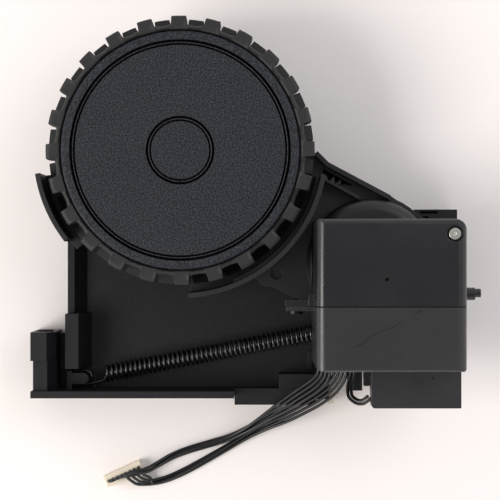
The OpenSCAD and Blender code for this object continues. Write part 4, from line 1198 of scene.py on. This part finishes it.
    def build(self) -> None:
        plug = self.plug()
        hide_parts("connector")
        for piece in plug:
            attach(piece, "base")
        start, end = self.place.at(38.9, self.exit_y, 19.2), self.place.at(12, -75, 1.5)
        for strand, node in ((Strand.UPPER, "cable_upper"), (Strand.LOWER, "cable_lower")):
            wires = self.wires(strand)
            for number, wire in enumerate(wires):
                del wire["route"]
                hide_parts(node)
                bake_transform(wire)
            log.info("%s strand: %d wires", strand.value, len(wires))
        lead = self.wires(Strand.LEAD)
        for wire in lead:
            del wire["route"]
        pair = join("switch_lead_pair", lead)
        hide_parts("switch_lead")
        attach(pair, "arm")


# The CAD pieces that stay


@dataclass
class Mouldings:
    """The CAD pieces that keep their own shape and get their finish here."""

    palette: Palette
    place: Place

    def spot(self, x: float, y: float) -> tuple[float, float]:
        """Return the row-frame x and y of a drawing point."""
        point = self.place.at(x, y, 0)
        return point.x, point.y

    def box_finishes(self) -> tuple[MarkedPlastic, MarkedPlastic]:
        """Return the finishes of the box's upper and lower halves with the marks of their faces, a painted shade line
        along their seam, and painted light in the lower half's lighter colour.
        """
        scratch = (
            (42.74, -48.89), (44.71, -48.33), (46.7, -46.63), (48.96, -45.21), (51.19, -44.52), (53.18, -43.66),
            (54.87, -42.53),
        )
        faint = ((57.97, -40.57), (59.93, -39.73))
        # A dark line of painted shade along the seam where the halves meet, drawn on the upper half.
        seam_shade = ((33.7, -39.0), (70.9, -39.0))
        upper = MarkedPlastic(
            "abs_smooth_box_upper", "17171a", 0.24, grain_mm=0.5, grain_depth_mm=0.004, cloud_mm=16, cloud=0.16,
            edge_mm=0.3, scratch_and_shade_lines=(tuple(self.spot(*p) for p in seam_shade),), scratch_and_shade_mm=0.3,
            blots=((*self.spot(51.19, -32.24), 1.2, 1.0),),
        )
        # The halves are the same plastic; the lower half's lighter colour than the upper's is painted light, for the
        # more light that its face reflects.
        lower = MarkedPlastic(
            "abs_smooth_box_lower_painted_lighter", "272729", 0.28, grain_mm=0.5, grain_depth_mm=0.004, cloud_mm=16, cloud=0.12,
            edge_mm=0.3,
            scratch_and_shade_lines=(tuple(self.spot(*p) for p in scratch), tuple(self.spot(*p) for p in faint)),
            blots=((*self.spot(59.4, -58.1), 3.0, 0.3), (*self.spot(63.4, -57.2), 0.5, 1.0)),
        )
        return upper, lower

    def dress(self, nodes: dict[str, bpy.types.Object]) -> None:
        """Give each CAD node its finish.

        Args:
            nodes: The frame's nodes by name.
        """
        box_upper, box_lower = self.box_finishes()
        finishes = {
            "base_bracket": Palette.bracket,
            "screw_block": Palette.bracket,
            "swing_arm": Palette.arm,
            "gear_cover": Palette.arm,
            "box_upper": box_upper,
            "box_lower": box_lower,
            "pivot_pin": Palette.pin,
            "cover_screws": Palette.screw,
            "box_screw": Palette.black_screw,
            "motor_can": Palette.can,
            "motor_end_cap": Palette.nylon,
            "motor_screws": Palette.screw,
            "rotor_shaft": Palette.shaft,
            "motor_pinion": Palette.brass,
            "encoder_magnet": Palette.ferrite,
            "encoder_board": Palette.board,
            "first_gear": Palette.acetal,
            "second_gear": Palette.acetal,
            "third_gear": Palette.acetal,
            "output_gear": Palette.acetal,
            "gear_pins": Palette.shaft,
            "wheel_axle": Palette.shaft,
            "front_bush": Palette.bronze,
            "rear_bush": Palette.bronze,
            "wheel_rim": Palette.arm,
            "axle_screw": Palette.screw,
            "cable_clip": Palette.plug,
        }
        for name, finish in finishes.items():
            self.palette.dress(nodes[name], finish)
        log.info("dressed %d CAD nodes", len(finishes))


# Studio


@dataclass
class Studio:
    """Pale floor, soft light from above and the photograph's camera. Millimetres and watts."""

    place: Place
    camera_at: Point = (17.5, -25.0, 486.0)
    frame_pixels: float = 500.0
    pixels_per_mm: float = 4.0
    face_z: float = 36.0
    sensor: float = 36.0

    def floor(self) -> None:
        """Lay the floor just under the module."""
        size = 3.0
        z = -0.00005
        floor = mesh_object(
            "floor", [(-size, -size, z), (size, -size, z), (size, size, z), (-size, size, z)], [(0, 1, 2, 3)], False
        )
        material = bpy.data.materials.new("paper_sweep")
        material.use_nodes = True
        shader = material.node_tree.nodes["Principled BSDF"]
        shader.inputs["Base Color"].default_value = linear("f6f0ee")
        shader.inputs["Roughness"].default_value = 0.9
        floor.data.materials.append(material)

    def lamp(self, name: str, at: Point, size: float, watts: float, colour: str) -> None:
        """Hang a square soft light that faces the module.

        Args:
            name: The lamp's name.
            at: Its place in metres.
            size: Its side in metres.
            watts: Its power.
            colour: Its sRGB hex colour.
        """
        light = bpy.data.lights.new(name, "AREA")
        light.size = size
        light.energy = watts
        light.color = linear(colour)[:3]
        lamp = bpy.data.objects.new(name, light)
        lamp.location = at
        lamp.rotation_euler = (-Vector(at)).to_track_quat("-Z", "Y").to_euler()
        bpy.context.scene.collection.objects.link(lamp)

    def world(self) -> None:
        """Fill the room with a pale light, stronger from the sides than from above."""
        world = bpy.data.worlds.new("room")
        world.use_nodes = True
        tree = world.node_tree
        back = tree.nodes["Background"]
        back.inputs["Color"].default_value = linear("fbfaf9")
        # The ceiling is dimmer than the walls, so rounded edges catch more light than flat faces
        place = add_node(tree, "ShaderNodeTexCoord")
        parts = add_node(tree, "ShaderNodeSeparateXYZ", links={"Vector": place.outputs["Generated"]})
        power = add_node(
            tree,
            "ShaderNodeMapRange",
            values={"From Min": 0.2, "From Max": 0.95, "To Min": 1.2, "To Max": 0.38},
            links={"Value": parts.outputs["Z"]},
        )
        tree.links.new(power.outputs["Result"], back.inputs["Strength"])
        bpy.context.scene.world = world

    def camera(self) -> None:
        """Set the camera straight above, where the photograph was taken from."""
        data = bpy.data.cameras.new("camera")
        height = self.camera_at[2] - self.face_z
        focal_pixels = height * self.pixels_per_mm
        data.sensor_width = self.sensor
        data.lens = self.sensor * focal_pixels / self.frame_pixels
        data.clip_start = 0.01
        camera = bpy.data.objects.new("camera", data)
        camera.location = self.place.at(*self.camera_at)
        bpy.context.scene.collection.objects.link(camera)
        bpy.context.scene.camera = camera

    def build(self) -> None:
        """Set up the floor, the lights and the camera."""
        self.floor()
        self.world()
        self.lamp("key", (-0.66, -0.22, 0.72), 0.45, 6.0, "fffaf6")
        self.lamp("fill", (0.45, 0.3, 0.7), 0.5, 1.6, "f4f7ff")
        self.camera()
        bpy.context.scene.view_settings.view_transform = "Standard"


def main() -> None:
    """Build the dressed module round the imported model."""
    logging.basicConfig(level=logging.INFO, format="%(message)s")
    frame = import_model()
    place = Place()
    palette = Palette()
    Studio(place).build()
    Harness(palette, place).build()
    array = ring_array_tree()
    winder = coil_tree()
    tyre = Tyre(palette, place).build(array)
    log.info("tyre: %d faces", len(tyre.data.polygons))
    cap = HubCap(palette, place).build()
    log.info("hub cap: %d faces", len(cap.data.polygons))
    spring = TensionSpring(palette, place).build(winder)
    log.info("spring: %d faces", len(spring.data.polygons))
    Mouldings(palette, place).dress(frame["nodes"])


if __name__ == "__main__":
    main()
